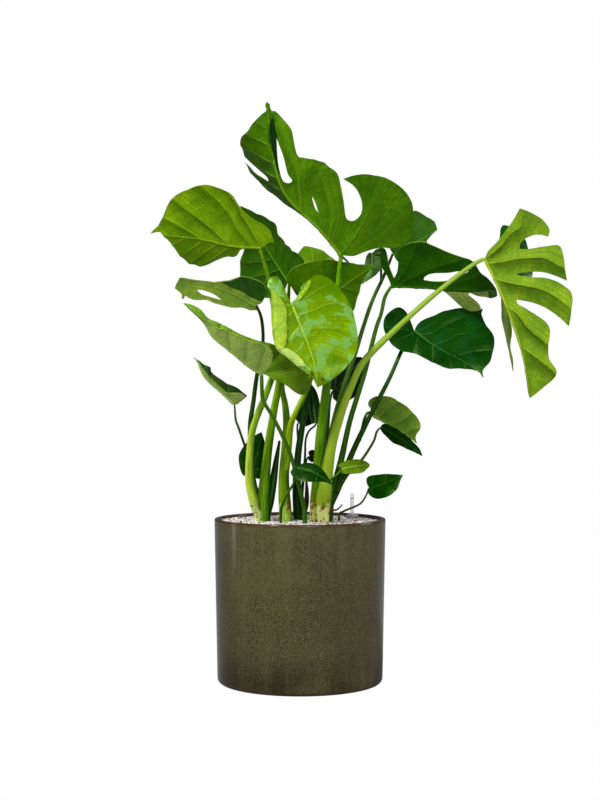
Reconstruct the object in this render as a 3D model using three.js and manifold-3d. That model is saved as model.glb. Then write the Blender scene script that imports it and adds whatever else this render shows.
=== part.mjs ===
// Swiss cheese plant in a glazed cylinder pot, with gravel and a water gauge.
// Millimetres, +Z up, +X to the right, -Y to the front. The origin is the middle
// of the pot's flat underside. Every blade is a sheet laid out flat as (along the
// midrib, across it) and then bent along its midrib, folded and curled.
import * as THREE from 'three';
import Module from 'manifold-3d';

const wasm = await Module();
wasm.setup();

// Pot: a thrown cylinder, slightly narrower at the foot.
const POT_HEIGHT = 286;
const POT_RIM_RADIUS = 150;
const POT_FOOT_RADIUS = 144.5;
const POT_WALL = 9;
const POT_FLOOR = 12;
const POT_FOOT_ROUND = 8;
const POT_RIM_ROUND = 3;
const POT_SIDES = 40;

// What the pot holds.
const GAP = 0.3;
const GRAVEL_TOP = 281;
const GRAVEL_BOTTOM = 269;
const GRAVEL_RINGS = 4;
const GRAVEL_RELIEF = 1.3;
const STUB_BOTTOM = 238;

// Water gauge: a clear tube through a grey collar, with a red float inside.
const GAUGE_AT = [94, 70];
const GAUGE_TUBE_RADIUS = 3.6;
const GAUGE_BORE_RADIUS = 2.7;
const GAUGE_TOP = 325;
const GAUGE_COLLAR_RADIUS = 10.5;
const GAUGE_COLLAR_HEIGHT = 5;
const GAUGE_FLOAT_RADIUS = 2.2;
const GAUGE_FLOAT_TOP = 291;

// Blades.
const BLADE_THICKNESS = 1.2;
const KEEL_DEPTH = 2.4;
const VEIN_LEAN = 0.4;
const SEAT_CLEARANCE = 0.45;
const SNAP = 0.5;

// Each blade: the midrib from the petiole to the tip, the way its upper side faces,
// the fold of each half up from flat and its curl over 100 mm, in degrees, and the
// outline of each half from the petiole to the tip as [along, across].
const LEAVES = {
  leaf_top: {
    midrib: [[71, -40, 743], [31, -62, 788], [-20, -83, 835], [-41, -98, 881], [-50, -112, 938], [-56, -120, 992]],
    face: [-0.1, 0.95, 0.3],
    leftFold: [8, 4, 0, 0, 0],
    leftCurl: [-6, -4, 0, 0, 0],
    rightFold: [88, 88, 84, 79, 71, 65, 50, 20, 4, 0, 0],
    rightCurl: [0, 0, 0, 0, 0, 0, 0, 4, 4, 4, 4],
    left: [
      [-15, 16], [-23, 36], [-36, 62], [-49, 75], [-56, 89], [-56, 110], [-41, 129],
      [-15, 149], [2, 154], [24, 153], [48, 143], [62, 128], [73, 107], [80, 89], [66, 93],
      [54, 90], [42, 83], [32, 71], [31, 54], [40, 47], [54, 55], [77, 78], [91, 89],
      [114, 88], [166, 83], [176, 74], [194, 51], [198, 43], [216, 39], [232, 38],
      [249, 36], [267, 26], [282, 16], [286, 12], [286, 8], [293, 5], [299, 5],
    ],
    right: [
      [-18, 18], [-36, 56], [-8, 104], [45, 128], [78, 112], [80, 60], [78, 30], [84, 28],
      [104, 60], [146, 94], [170, 102], [196, 104], [176, 76], [163, 50], [158, 38],
      [166, 36], [180, 46], [194, 56], [208, 64], [225, 56], [244, 51], [255, 37],
      [265, 29], [281, 12], [289, 2], [298, 3],
    ],
    holes: [
      [[237, -10], [228, -12], [212, -16], [198, -18], [183, -18], [166, -18], [150, -21], [147, -16], [154, -8], [162, -6], [179, -6], [198, -7], [226, -9]],
      [[97, -32], [91, -30], [83, -25], [75, -19], [81, -20], [90, -26]],
    ],
  },
  leaf_upper_left: {
    midrib: [[-69, -50, 756], [-116, -66, 757], [-170, -82, 767], [-253, -95, 774]],
    face: [0, 0.8, 0.6],
    faceTip: [0.1, 0.85, 0.5],
    leftFold: [12, 6, 4],
    leftCurl: [-6, -6, -4],
    rightFold: [10, 14, 8],
    rightCurl: [10, 10, 10],
    left: [
      [-8, 1], [-17, 8], [-31, 10], [-17, 31], [23, 50], [61, 68], [83, 78], [99, 91],
      [107, 95], [119, 97], [132, 99], [141, 96], [151, 85], [161, 77], [169, 68],
      [177, 37], [180, 25], [183, 14], [188, 7],
    ],
    right: [
      [2, 3], [14, 5], [43, 6], [48, 21], [65, 28], [79, 42], [96, 60], [114, 66],
      [133, 63], [153, 40], [165, 15], [175, 2], [179, -4], [184, -4],
    ],
  },
  leaf_back_left: {
    midrib: [[-20, 60, 705], [-42, 76, 739], [-69, 90, 783], [-108, 102, 847]],
    face: [0.45, 0.65, 0.6],
    leftFold: [6, 6],
    rightFold: [-8, -8],
    rightCurl: [-10, -10],
    left: [
      [-28, 22], [-39, 51], [-22, 62], [13, 59], [74, 45], [103, 42], [118, 47], [139, 34],
      [156, 16],
    ],
    right: [
      [-4, 24], [16, 56], [46, 79], [85, 90], [103, 82], [118, 63], [124, 47], [132, 30],
      [150, 17], [163, 11],
    ],
  },
  leaf_low_left: {
    midrib: [[-77, -8, 659], [-110, -20, 677], [-147, -35, 690], [-181, -50, 695], [-212, -62, 692]],
    face: [0.05, 0.5, 0.86],
    leftFold: [-14, -10, -6],
    leftCurl: [6, 6],
    rightFold: [-14, -14, -10],
    rightCurl: [12, 12],
    left: [
      [-2, 17], [11, 63], [25, 78], [40, 78], [55, 74], [65, 47], [75, 24], [98, 12],
      [122, 14], [150, 21],
    ],
    right: [
      [-8, 7], [3, 16], [16, 20], [33, 32], [56, 38], [74, 37], [91, 42], [115, 39],
      [129, 31], [129, 40], [134, 39], [137, 28], [155, 8],
    ],
    holes: [[[105, 18], [89, 15], [77, 17], [52, 24], [70, 28], [88, 27]]],
  },
  leaf_cupped: {
    midrib: [[-64, -88, 537], [-86, -98, 550], [-114, -107, 573], [-146, -114, 599], [-162, -119, 624], [-195, -123, 655]],
    face: [0.55, -0.3, 0.83],
    leftFold: [60, 60, 60, 50],
    leftCurl: [6, 6],
    rightFold: [76, 74, 68, 50],
    rightCurl: [6, 6],
    left: [
      [-1, 8], [2, 20], [9, 38], [24, 55], [41, 62], [53, 60], [62, 53], [80, 40],
      [102, 34], [131, 19], [146, 8], [161, 4],
    ],
    right: [
      [-9, 2], [-26, 1], [-48, 4], [-68, 4], [-88, 2], [-108, 4], [-116, 13], [-112, 25],
      [-99, 36], [-74, 46], [-32, 54], [3, 54], [40, 49], [59, 41], [80, 33], [95, 30],
      [127, 23], [142, 12], [149, 10], [159, 12], [168, 10], [176, 6],
    ],
  },
  leaf_small_left: {
    midrib: [[-116, 0, 488], [-138, -12, 508], [-165, -20, 533], [-176, -24, 557], [-184, -26, 568]],
    face: [0.45, -0.6, 0.66],
    leftFold: [90, 90, 90],
    rightFold: [0, 0],
    left: [
      [-5, 3], [-3, 14], [-2, 27], [6, 25], [14, 17], [20, 7], [31, 6], [45, 7], [61, 7],
      [78, 3],
    ],
    right: [
      [-7, 7], [-13, 22], [-20, 43], [-5, 44], [20, 32], [44, 24], [63, 25], [76, 11],
      [94, 2],
    ],
  },
  leaf_bright: {
    midrib: [[-15, -100, 657], [0, -122, 618], [15, -138, 581], [26, -150, 543], [29, -152, 513]],
    face: [0.02, -0.93, 0.35],
    faceTip: [0.05, -1, 0.1],
    leftFold: [-4, 0, 0],
    leftCurl: [-4, -4],
    rightFold: [-4, 0, 0],
    rightCurl: [-2, -2],
    left: [
      [-6, 12], [-24, 29], [-31, 46], [-35, 62], [-25, 79], [0, 90], [27, 95], [63, 90],
      [91, 82], [111, 69], [126, 50], [142, 28], [154, 14], [159, 4],
    ],
    right: [
      [-12, 1], [-36, 2], [-50, 6], [-51, 18], [-40, 27], [-29, 25], [2, 36], [48, 50],
      [67, 51], [89, 39], [112, 25], [128, 13], [138, 7],
    ],
  },
  leaf_centre: {
    midrib: [[39, 25, 667], [71, 16, 691], [102, 9, 712], [131, 7, 730]],
    face: [-0.15, 0.8, 0.55],
    leftFold: [8, 8],
    leftCurl: [-6, -6],
    rightFold: [8, 8],
    rightCurl: [-6, -6],
    left: [
      [-6, 15], [-12, 43], [-5, 66], [14, 66], [39, 49], [62, 29], [83, 12],
    ],
    right: [
      [-3, 8], [-15, 25], [-21, 51], [-17, 79], [-3, 84], [14, 80], [30, 72], [45, 62],
      [61, 45], [77, 28], [90, 16],
    ],
  },
  leaf_fenestrated_dark: {
    midrib: [[162, 36, 696], [209, 24, 693], [256, 12, 690], [302, 2, 687], [344, -6, 686]],
    face: [0, 0.72, 0.7],
    leftFold: [48, 48, 48, 46, 38, 8, 4, 10, 28, 28, 28],
    rightFold: [12, 8, 0],
    rightCurl: [-10, -6],
    left: [
      [-2, 8], [-2, 30], [4, 58], [22, 76], [56, 76], [74, 52], [78, 30], [83, 12],
      [90, 10], [122, 46], [140, 64], [153, 56], [148, 36], [132, 12], [137, 9], [152, 24],
      [170, 36], [184, 34], [190, 16],
    ],
    right: [
      [-5, 17], [-15, 40], [-12, 79], [-6, 75], [0, 35], [6, 16], [12, 29], [15, 50],
      [14, 69], [33, 88], [58, 96], [78, 87], [99, 76], [119, 69], [138, 64], [147, 55],
      [156, 40], [171, 25],
    ],
    holes: [[[57, 15], [59, 21], [66, 27], [76, 30], [99, 32], [116, 37], [136, 39], [123, 30], [106, 20], [94, 15], [72, 13]]],
  },
  leaf_right: {
    midrib: [[317, -60, 735], [340, -78, 680], [362, -90, 620], [379, -96, 561], [389, -92, 496]],
    face: [0.35, 0.9, 0.25],
    faceTip: [0.4, 0.9, 0.1],
    leftFold: [112, 108, 84, 57, 57, 57, 57, 57, 57, 57, 57],
    rightFold: [10, 6, 4],
    rightCurl: [-4, -4],
    left: [
      [2, 7], [-22, 43], [-44, 64], [-59, 74], [-65, 84], [-62, 98], [-52, 118],
      [-32, 124], [-13, 118], [14, 115], [34, 102], [45, 94], [55, 73], [51, 47], [53, 30],
      [67, 5], [76, 24], [98, 51], [133, 68], [156, 73], [180, 73], [212, 71], [178, 60],
      [156, 57], [139, 29], [127, 15], [84, 4], [110, 3], [190, 3], [244, 2],
    ],
    right: [
      [-9, 10], [-19, 34], [-37, 68], [-51, 91], [-30, 107], [-11, 117], [11, 119],
      [21, 112], [13, 105], [5, 95], [2, 84], [2, 73], [7, 63], [14, 59], [23, 74],
      [34, 101], [44, 122], [61, 121], [95, 110], [80, 94], [68, 79], [60, 64], [50, 39],
      [54, 37], [68, 60], [78, 79], [89, 93], [100, 102], [114, 109], [137, 102],
      [160, 87], [145, 78], [131, 69], [118, 58], [105, 43], [90, 20], [95, 18], [111, 30],
      [141, 52], [155, 55], [195, 41], [219, 51], [241, 23], [252, 6],
    ],
  },
  leaf_glossy_dark: {
    midrib: [[201, 10, 615], [228, -4, 593], [260, -16, 573], [292, -26, 555], [318, -32, 531]],
    face: [-0.1, -0.8, 0.6],
    leftFold: [2, 2],
    leftCurl: [-4, -4],
    rightFold: [2, 2],
    rightCurl: [-4, -4],
    left: [
      [-4, 12], [-4, 25], [4, 48], [10, 70], [28, 93], [58, 100], [69, 109], [73, 120],
      [78, 110], [88, 101], [96, 94], [112, 80], [121, 66], [130, 47], [138, 30],
      [139, 16], [141, 8], [146, 4],
    ],
    right: [
      [-13, -8], [-39, -20], [-53, -18], [-59, 0], [-54, 20], [-39, 36], [-18, 46],
      [0, 49], [15, 47], [31, 35], [45, 33], [64, 31], [84, 29], [110, 14], [127, 2],
      [135, -2], [143, -2],
    ],
  },
  leaf_low_right: {
    midrib: [[132, 40, 466], [152, 28, 453], [175, 18, 440], [192, 12, 430], [206, 8, 417]],
    face: [0.2, 0.8, 0.55],
    leftFold: [52, 50],
    rightFold: [4, 4],
    rightCurl: [-4, -4],
    left: [
      [3, 8], [6, 24], [16, 38], [38, 42], [62, 28], [82, 10],
    ],
    right: [
      [-8, 8], [-15, 13], [-16, 21], [-8, 35], [6, 46], [24, 54], [42, 52], [63, 45],
      [75, 35], [81, 26], [82, 14], [84, 7],
    ],
  },
  leaf_low_right_dark: {
    midrib: [[142, 5, 446], [164, -7, 433], [188, -18, 417], [213, -25, 396]],
    face: [-0.15, -0.5, 0.85],
    leftFold: [0, 0],
    rightFold: [0, 0],
    left: [
      [-2, 7], [2, 13], [19, 15], [44, 14], [69, 11], [81, 8],
    ],
    right: [
      [5, 6], [22, 13], [43, 17], [62, 12], [78, 6],
    ],
  },
  leaf_small_right: {
    midrib: [[120, -12, 339], [137, -22, 344], [158, -30, 353], [178, -34, 363]],
    face: [-0.2, -0.9, 0.5],
    leftFold: [4, 4],
    rightFold: [4, 4],
    left: [
      [-4, 10], [-4, 20], [6, 23], [37, 17], [55, 8],
    ],
    right: [
      [-4, 5], [5, 16], [20, 25], [37, 26], [50, 19], [60, 7],
    ],
  },
  leaf_small_mid: {
    midrib: [[72, -60, 375], [96, -68, 380], [119, -72, 382]],
    face: [-0.1, -0.7, 0.7],
    leftFold: [0, 0],
    rightFold: [0, 0],
    left: [
      [-8, 10], [3, 17], [17, 17], [32, 14], [42, 9],
    ],
    right: [
      [0, 8], [19, 16], [36, 15], [44, 8],
    ],
  },
  leaf_small_front: {
    midrib: [[-3, -78, 376], [17, -88, 372], [37, -94, 363], [56, -96, 349]],
    face: [0, -0.8, 0.6],
    leftFold: [0, 0],
    rightFold: [0, 0],
    left: [
      [-6, 4], [6, 15], [25, 17], [41, 13], [55, 6],
    ],
    right: [
      [-9, 0], [-11, 8], [-5, 16], [8, 22], [25, 22], [42, 14], [57, 4],
    ],
  },
  leaf_small_back: {
    midrib: [[-86, 45, 365], [-80, 42, 386], [-73, 36, 411], [-68, 30, 436]],
    face: [0.2, -0.9, 0.4],
    leftFold: [0, 0],
    rightFold: [0, 0],
    left: [
      [-13, 5], [-11, 14], [10, 26], [30, 30], [55, 21], [69, 9],
    ],
    right: [
      [-11, 12], [-8, 19], [10, 22], [42, 15], [62, 7],
    ],
  },
  leaf_shade: {
    midrib: [[60, 94, 509], [78, 86, 527], [96, 80, 549], [113, 75, 569]],
    face: [0.1, -0.6, 0.8],
    leftFold: [0, 0],
    rightFold: [0, 0],
    left: [
      [-3, 12], [-3, 38], [19, 50], [54, 28], [72, 15],
    ],
    right: [
      [-6, 14], [6, 42], [25, 49], [46, 36], [68, 20],
    ],
  },
  leaf_drooping: {
    midrib: [[129, 60, 757], [129, 56, 740], [122, 50, 720], [110, 44, 700]],
    face: [-0.3, -0.9, 0.3],
    leftFold: [0, 0],
    rightFold: [0, 0],
    left: [
      [-7, 7], [-11, 19], [8, 26], [26, 22], [44, 13],
    ],
    right: [
      [-2, 5], [7, 11], [36, 12], [52, 7],
    ],
  },
  leaf_back_right: {
    midrib: [[168, 70, 756], [196, 88, 771], [223, 108, 789], [252, 124, 807]],
    face: [-0.2, 0.62, 0.76],
    leftFold: [0, 0],
    rightFold: [0, 0],
    left: [
      [13, 21], [51, 62], [82, 82], [109, 84], [134, 83], [148, 76], [124, 50], [99, 38],
      [87, 15], [103, 4],
    ],
    right: [
      [-12, 18], [-15, 42], [-6, 76], [9, 93], [29, 92], [59, 67], [102, 26],
    ],
  },
  leaf_back_top: {
    midrib: [[27, 60, 672], [25, 95, 700], [24, 135, 737], [21, 170, 779]],
    face: [0, 0.5, 0.86],
    leftFold: [-10, -10],
    rightFold: [-10, -10],
    left: [
      [-4, 16], [29, 33], [82, 43], [130, 29], [152, 15], [166, 6],
    ],
    right: [
      [3, 17], [46, 41], [96, 56], [142, 53], [152, 31], [160, 11],
    ],
  },
  leaf_hanging: {
    midrib: [[29, 62, 453], [26, 64, 475], [23, 66, 500], [19, 64, 524]],
    face: [0.5, -0.8, 0.2],
    leftFold: [0, 0],
    rightFold: [0, 0],
    left: [
      [-3, 7], [13, 10], [38, 9], [58, 7],
    ],
    right: [
      [-4, 4], [11, 11], [37, 13], [56, 9],
    ],
  },
  leaf_low_back: {
    midrib: [[16, 52, 393], [23, 49, 394], [32, 46, 393]],
    face: [0, -0.8, 0.5],
    leftFold: [0, 0],
    rightFold: [0, 0],
    left: [
      [-3, 9], [5, 12], [13, 9],
    ],
    right: [
      [-1, 7], [9, 14], [17, 10],
    ],
  },
  leaf_shade_low: {
    midrib: [[-2, 88, 451], [14, 84, 468], [36, 78, 486]],
    face: [0, -0.9, 0.4],
    leftFold: [0, 0],
    rightFold: [0, 0],
    left: [
      [1, 9], [12, 23], [29, 24], [45, 15],
    ],
    right: [
      [1, 10], [19, 19], [41, 18], [50, 10],
    ],
  },
};

// Petioles and stems from the blade down: [x, y, z, radius].
const ROUTES = {
  leaf_top: [
    [71, -40, 743, 3.6], [66, -38, 695, 4.4], [57, -34, 614, 5.4], [47, -30, 522, 7.2],
    [36, -25, 423, 9], [33, -20, 354, 12], [31, -18, 296, 14],
  ],
  leaf_right: [
    [315, -60, 735, 3.1], [291, -63, 721, 3.8], [239, -67, 681, 4.4], [171, -69, 621, 5],
    [111, -66, 561, 6], [89, -62, 519, 6.8], [69, -56, 467, 7.6], [53, -48, 407, 9],
    [43, -32, 337, 13], [38, -22, 296, 14],
  ],
  leaf_fenestrated_dark: [
    [162, 37, 695, 2.6], [151, 36, 676, 3.2], [144, 33, 646, 3.4], [134, 28, 617, 3.7],
    [113, 18, 537, 4.2], [88, 6, 458, 4.8], [72, 0, 388, 5.4], [58, -4, 335, 6],
    [51, -8, 295, 7],
  ],
  leaf_back_right: [
    [167, 70, 756, 2.4], [153, 88, 720, 3], [128, 80, 665, 3.5], [98, 56, 574, 4.2],
    [71, 36, 493, 5], [55, 18, 422, 6], [44, -8, 295, 8],
  ],
  leaf_glossy_dark: [
    [200, 10, 613, 2.4], [191, 22, 596, 3], [179, 20, 578, 3.3], [156, 6, 528, 3.6],
    [121, 0, 461, 4.4], [94, 0, 405, 5], [67, -4, 339, 6], [47, -8, 295, 7],
  ],
  leaf_low_right: [
    [131, 40, 466, 1.8], [122, 41, 471, 2.2], [115, 34, 461, 2.5], [110, 18, 442, 3],
    [104, 2, 423, 4],
  ],
  leaf_low_right_dark: [
    [142, 5, 445, 1.6], [135, 8, 437, 2], [129, 10, 419, 2.2], [109, 12, 388, 2.4],
    [84, -6, 363, 2.6], [65, -16, 333, 3],
  ],
  leaf_small_mid: [
    [71, -60, 374, 1.5], [65, -56, 366, 1.8], [52, -44, 355, 2.2],
  ],
  leaf_drooping: [
    [130, 60, 756, 1.6], [139, 68, 750, 1.9], [146, 80, 732, 2.2], [147, 86, 703, 2.4],
  ],
  aerial_root: [
    [73, -34, 312, 1.2], [64, -32, 303, 1.6], [50, -24, 297, 2.4],
  ],
  leaf_shade: [
    [59, 94, 509, 2], [54, 90, 489, 2.6], [50, 62, 439, 3], [44, 20, 369, 4],
    [40, -4, 295, 5],
  ],
  leaf_bright: [
    [-15, -101, 653, 3.4], [-19, -98, 637, 4], [-29, -76, 587, 4.8], [-50, -46, 527, 5.4],
    [-64, -44, 490, 5.6], [-72, -46, 471, 5.8], [-82, -38, 441, 6], [-87, -30, 406, 6.4],
    [-88, -22, 350, 7.2], [-79, -16, 310, 8.2], [-72, -12, 290, 8.8],
  ],
  leaf_upper_left: [
    [-70, -50, 756, 2.8], [-62, -45, 731, 3.4], [-55, -37, 704, 4], [-45, -26, 649, 4.6],
    [-37, -20, 589, 5], [-37, -12, 524, 5.6], [-46, -6, 472, 6.4], [-56, -4, 405, 7.8],
    [-63, -4, 335, 9.8], [-65, -5, 290, 12],
  ],
  leaf_low_left: [
    [-76, -8, 658, 2.2], [-68, -2, 637, 2.8], [-65, 4, 607, 3], [-67, 9, 581, 3.2],
    [-76, 14, 537, 3.6], [-82, 16, 493, 4], [-88, 14, 440, 4.6], [-83, 8, 354, 5.4],
    [-74, 3, 321, 6], [-67, 0, 289, 7],
  ],
  leaf_small_left: [
    [-115, 0, 487, 1.6], [-113, 4, 459, 2], [-108, 6, 444, 2.1], [-96, 14, 407, 2.3],
    [-83, 20, 359, 2.6], [-67, 9, 289, 3.4],
  ],
  leaf_small_back: [
    [-85, 45, 363, 1.6], [-81, 40, 340, 2], [-73, 28, 316, 2.4], [-63, 9, 289, 3],
  ],
  leaf_back_left: [
    [-19, 60, 704, 2.8], [-22, 60, 655, 3.6], [-27, 48, 591, 4], [-32, 24, 521, 4.8],
    [-26, 18, 484, 5.6], [-23, 12, 447, 6.6], [-25, 6, 405, 8], [-28, 0, 349, 9.6],
    [-25, -6, 290, 11],
  ],
  leaf_centre: [
    [38, 25, 666, 2.6], [34, 26, 617, 3.6], [28, 22, 573, 4.2], [19, 16, 532, 4.6],
    [8, 10, 502, 4.8], [-6, 2, 474, 5], [-16, 2, 449, 5.4], [-20, 2, 414, 6],
    [-25, 0, 370, 7],
  ],
  sheath_left: [
    [-36, 12, 421, 2.2], [-42, 8, 384, 5], [-47, 2, 349, 7], [-53, -2, 314, 7.4],
    [-58, -4, 290, 7],
  ],
  sheath_dry: [
    [11, 16, 354, 1.6], [12, 20, 330, 3.6], [11, 24, 309, 4.6], [6, 28, 287, 5],
  ],
  leaf_cupped: [
    [-65, -88, 537, 2.6], [-65, -90, 525, 3.2], [-64, -86, 498, 3.4], [-59, -82, 485, 3.4],
    [-51, -78, 472, 3.4], [-39, -73, 450, 3.4], [-27, -70, 425, 3.4], [-15, -66, 395, 3.4],
    [-2, -58, 347, 3.6], [5, -54, 316, 4], [8, -52, 299, 4.4],
  ],
  leaf_small_front: [
    [-3, -78, 376, 1.4], [-6, -76, 367, 1.8], [-9, -74, 355, 2], [-22, -66, 331, 2.1],
    [-30, -60, 315, 2.2], [-33, -55, 299, 2.6],
  ],
  leaf_back_top: [
    [27, 60, 671, 2.6], [25, 58, 628, 3.2], [20, 50, 565, 4], [14, 42, 505, 4.6],
    [4, 34, 447, 5.4], [-4, 28, 392, 6.4], [-6, 26, 334, 7.6], [-4, 26, 293, 8.6],
  ],
  leaf_hanging: [
    [29, 62, 453, 1.5], [27, 64, 447, 1.7], [16, 62, 437, 1.9], [10, 56, 420, 2],
    [9, 48, 391, 2.2], [5, 36, 342, 2.8], [0, 30, 292, 4],
  ],
  leaf_low_back: [
    [15, 52, 392, 1.3], [12, 50, 386, 1.6], [7, 44, 368, 2],
  ],
  leaf_shade_low: [
    [-3, 88, 451, 1.5], [-5, 84, 442, 1.8], [-2, 60, 394, 2.2], [-2, 34, 315, 3.4],
  ],
  leaf_small_right: [
    [120, -12, 339, 1.4], [116, -10, 327, 1.7], [106, -8, 312, 1.8], [88, -4, 303, 1.9],
    [75, 0, 297, 2], [69, 3, 291, 2],
  ],
};

// Clumps where petioles grow together: the middle and radius of the stub that stands
// in the gravel, and the routes that belong to it.
const CLUMPS = {
  stem_left: {
    at: [-66, -5],
    radius: 19,
    routes: ['leaf_bright', 'leaf_upper_left', 'leaf_low_left', 'leaf_small_left', 'leaf_small_back',
      'sheath_left'],
  },
  stem_centre: {
    at: [-24, -6],
    radius: 19,
    routes: ['leaf_back_left', 'leaf_centre'],
  },
  stem_back: {
    at: [-1, 30],
    radius: 14,
    routes: ['leaf_back_top', 'leaf_hanging', 'leaf_low_back', 'leaf_shade_low', 'sheath_dry'],
  },
  stem_right: {
    at: [38, -18],
    radius: 24,
    routes: ['leaf_top', 'leaf_right', 'leaf_fenestrated_dark', 'leaf_back_right', 'leaf_glossy_dark',
      'leaf_low_right', 'leaf_low_right_dark', 'leaf_small_mid', 'leaf_drooping', 'leaf_shade',
      'aerial_root'],
  },
};
const LONE_PETIOLES = {
  petiole_cupped: 'leaf_cupped',
  petiole_front: 'leaf_small_front',
  petiole_right: 'leaf_small_right',
};

const COLOURS = {
  leaf: 0x3f7a0c,
  stem: 0x6f9a2c,
  glaze: 0x4a4a35,
  gravel: 0xc9bfb4,
  soil: 0x3a2a1e,
  tube: 0xe6eaec,
  collar: 0x8d9199,
  float: 0xc02418,
};

const add = (a, b) => a.map((v, i) => v + b[i]);
const subtract = (a, b) => a.map((v, i) => v - b[i]);
const scale = (a, k) => a.map((v) => v * k);
const dot = (a, b) => a.reduce((sum, v, i) => sum + v * b[i], 0);
const cross = (a, b) => [
  a[1] * b[2] - a[2] * b[1],
  a[2] * b[0] - a[0] * b[2],
  a[0] * b[1] - a[1] * b[0],
];
const size = (a) => Math.hypot(...a);
const unit = (a) => scale(a, 1 / size(a));
const clamp = (v, low, high) => Math.min(Math.max(v, low), high);
const radians = (degrees) => degrees * Math.PI / 180;

// A smooth curve through the points; s runs from 0 to 1 and goes on straight below 0.
function curve(points, s) {
  const last = points.length - 1;
  if (s < 0) {
    const step = 1e-3;
    return add(points[0], scale(subtract(curve(points, step), points[0]), s / step));
  }
  const k = Math.min(Math.floor(s * last), last - 1);
  const f = s * last - k;
  const b = points[k];
  const c = points[k + 1];
  const a = k > 0 ? points[k - 1] : subtract(scale(b, 2), c);
  const d = k + 2 <= last ? points[k + 2] : subtract(scale(c, 2), b);
  return b.map((v, i) => 0.5 * (2 * v + (c[i] - a[i]) * f
    + (2 * a[i] - 5 * v + 4 * c[i] - d[i]) * f * f
    + (3 * v - a[i] - 3 * c[i] + d[i]) * f ** 3));
}

function curveLength(points) {
  const steps = 40;
  let total = 0;
  for (let i = 0; i < steps; i += 1) {
    total += size(subtract(curve(points, (i + 1) / steps), curve(points, i / steps)));
  }
  return total;
}

// A value from an evenly spaced list.
function along(list, s) {
  const last = list.length - 1;
  const k = Math.min(Math.floor(s * last), last - 1);
  return list[k] + (list[k + 1] - list[k]) * (s * last - k);
}

// Where the flat point [u, v] of a blade lies in space.
function bladePoint(leaf, length, u, v) {
  const step = 1e-3;
  const s = clamp(u / length, 0, 1);
  const from = Math.min(s, 1 - step);
  const ahead = unit(subtract(curve(leaf.midrib, from + step), curve(leaf.midrib, from)));
  const tipFace = leaf.faceTip ?? leaf.face;
  const face = add(scale(leaf.face, 1 - s), scale(tipFace, s));
  const up = unit(subtract(face, scale(ahead, dot(face, ahead))));
  const right = cross(ahead, up);
  const side = v >= 0 ? 'right' : 'left';
  const w = Math.abs(v);
  const vein = clamp((u - VEIN_LEAN * w) / length, 0, 1);
  const fold = radians(along(leaf[`${side}Fold`], vein));
  const curl = radians(along(leaf[`${side}Curl`] ?? [0, 0], vein)) / 100;
  let across = w * Math.cos(fold);
  let rise = w * Math.sin(fold);
  if (Math.abs(curl) > 1e-7) {
    across = (Math.sin(fold + curl * w) - Math.sin(fold)) / curl;
    rise = (Math.cos(fold) - Math.cos(fold + curl * w)) / curl;
  }
  const base = curve(leaf.midrib, u / length);
  return add(add(base, scale(right, v >= 0 ? across : -across)), scale(up, rise));
}

// Splits a flat sheet of triangles along the line where coordinate `axis` is `value`.
function cutAlong(sheet, axis, value) {
  const at = sheet.points.map((p) => {
    const d = p[axis] - value;
    return Math.abs(d) < SNAP ? 0 : Math.sign(d);
  });
  const made = new Map();
  const between = (a, b) => {
    const key = a < b ? `${a},${b}` : `${b},${a}`;
    if (!made.has(key)) {
      const [p, q] = [sheet.points[a], sheet.points[b]];
      const f = (value - p[axis]) / (q[axis] - p[axis]);
      const point = [p[0] + (q[0] - p[0]) * f, p[1] + (q[1] - p[1]) * f];
      point[axis] = value;
      made.set(key, sheet.points.length);
      sheet.points.push(point);
      at.push(0);
    }
    return made.get(key);
  };
  const triangles = [];
  for (const [a, b, c] of sheet.triangles) {
    const turns = [[a, b, c], [b, c, a], [c, a, b]];
    const signs = [at[a], at[b], at[c]];
    if (!signs.includes(1) || !signs.includes(-1)) {
      triangles.push([a, b, c]);
    } else if (signs.includes(0)) {
      const [p, q, r] = turns[signs.indexOf(0)];
      const m = between(q, r);
      triangles.push([p, q, m], [p, m, r]);
    } else {
      const lone = signs.findIndex((v) => signs.filter((w) => w === v).length === 1);
      const [p, q, r] = turns[lone];
      const m = between(p, q);
      const n = between(p, r);
      triangles.push([p, m, n], [m, q, r], [m, r, n]);
    }
  }
  sheet.triangles = triangles;
}

// Swaps diagonals until the triangles of a flat sheet are as even as they can be.
// Edges on the midrib line stay.
function evened(sheet) {
  const { points, triangles } = sheet;
  const turn = (a, b, c) => (points[b][0] - points[a][0]) * (points[c][1] - points[a][1])
    - (points[b][1] - points[a][1]) * (points[c][0] - points[a][0]);
  const corner = (a, b, c) => {
    const p = subtract(points[a], points[c]);
    const q = subtract(points[b], points[c]);
    return Math.atan2(Math.abs(p[0] * q[1] - p[1] * q[0]), dot(p, q));
  };
  const onRib = (i) => Math.abs(points[i][1]) < 1e-9;
  for (let pass = 0; pass < 12; pass += 1) {
    let swaps = 0;
    const owner = new Map();
    triangles.forEach((t, k) => {
      for (let i = 0; i < 3; i += 1) {
        owner.set(`${t[i]},${t[(i + 1) % 3]}`, k);
      }
    });
    const touched = new Set();
    for (const [key, k] of [...owner]) {
      const [a, b] = key.split(',').map(Number);
      const m = owner.get(`${b},${a}`);
      if (m === undefined || a > b || touched.has(k) || touched.has(m) || (onRib(a) && onRib(b))) {
        continue;
      }
      const c = triangles[k].find((i) => i !== a && i !== b);
      const d = triangles[m].find((i) => i !== a && i !== b);
      const convex = turn(c, a, d) > 1e-6 && turn(c, d, b) > 1e-6;
      if (convex && corner(a, b, c) + corner(a, b, d) > Math.PI + 1e-6) {
        triangles[k] = [c, a, d];
        triangles[m] = [c, d, b];
        touched.add(k).add(m);
        swaps += 1;
      }
    }
    if (swaps === 0) {
      break;
    }
  }
}

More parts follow.
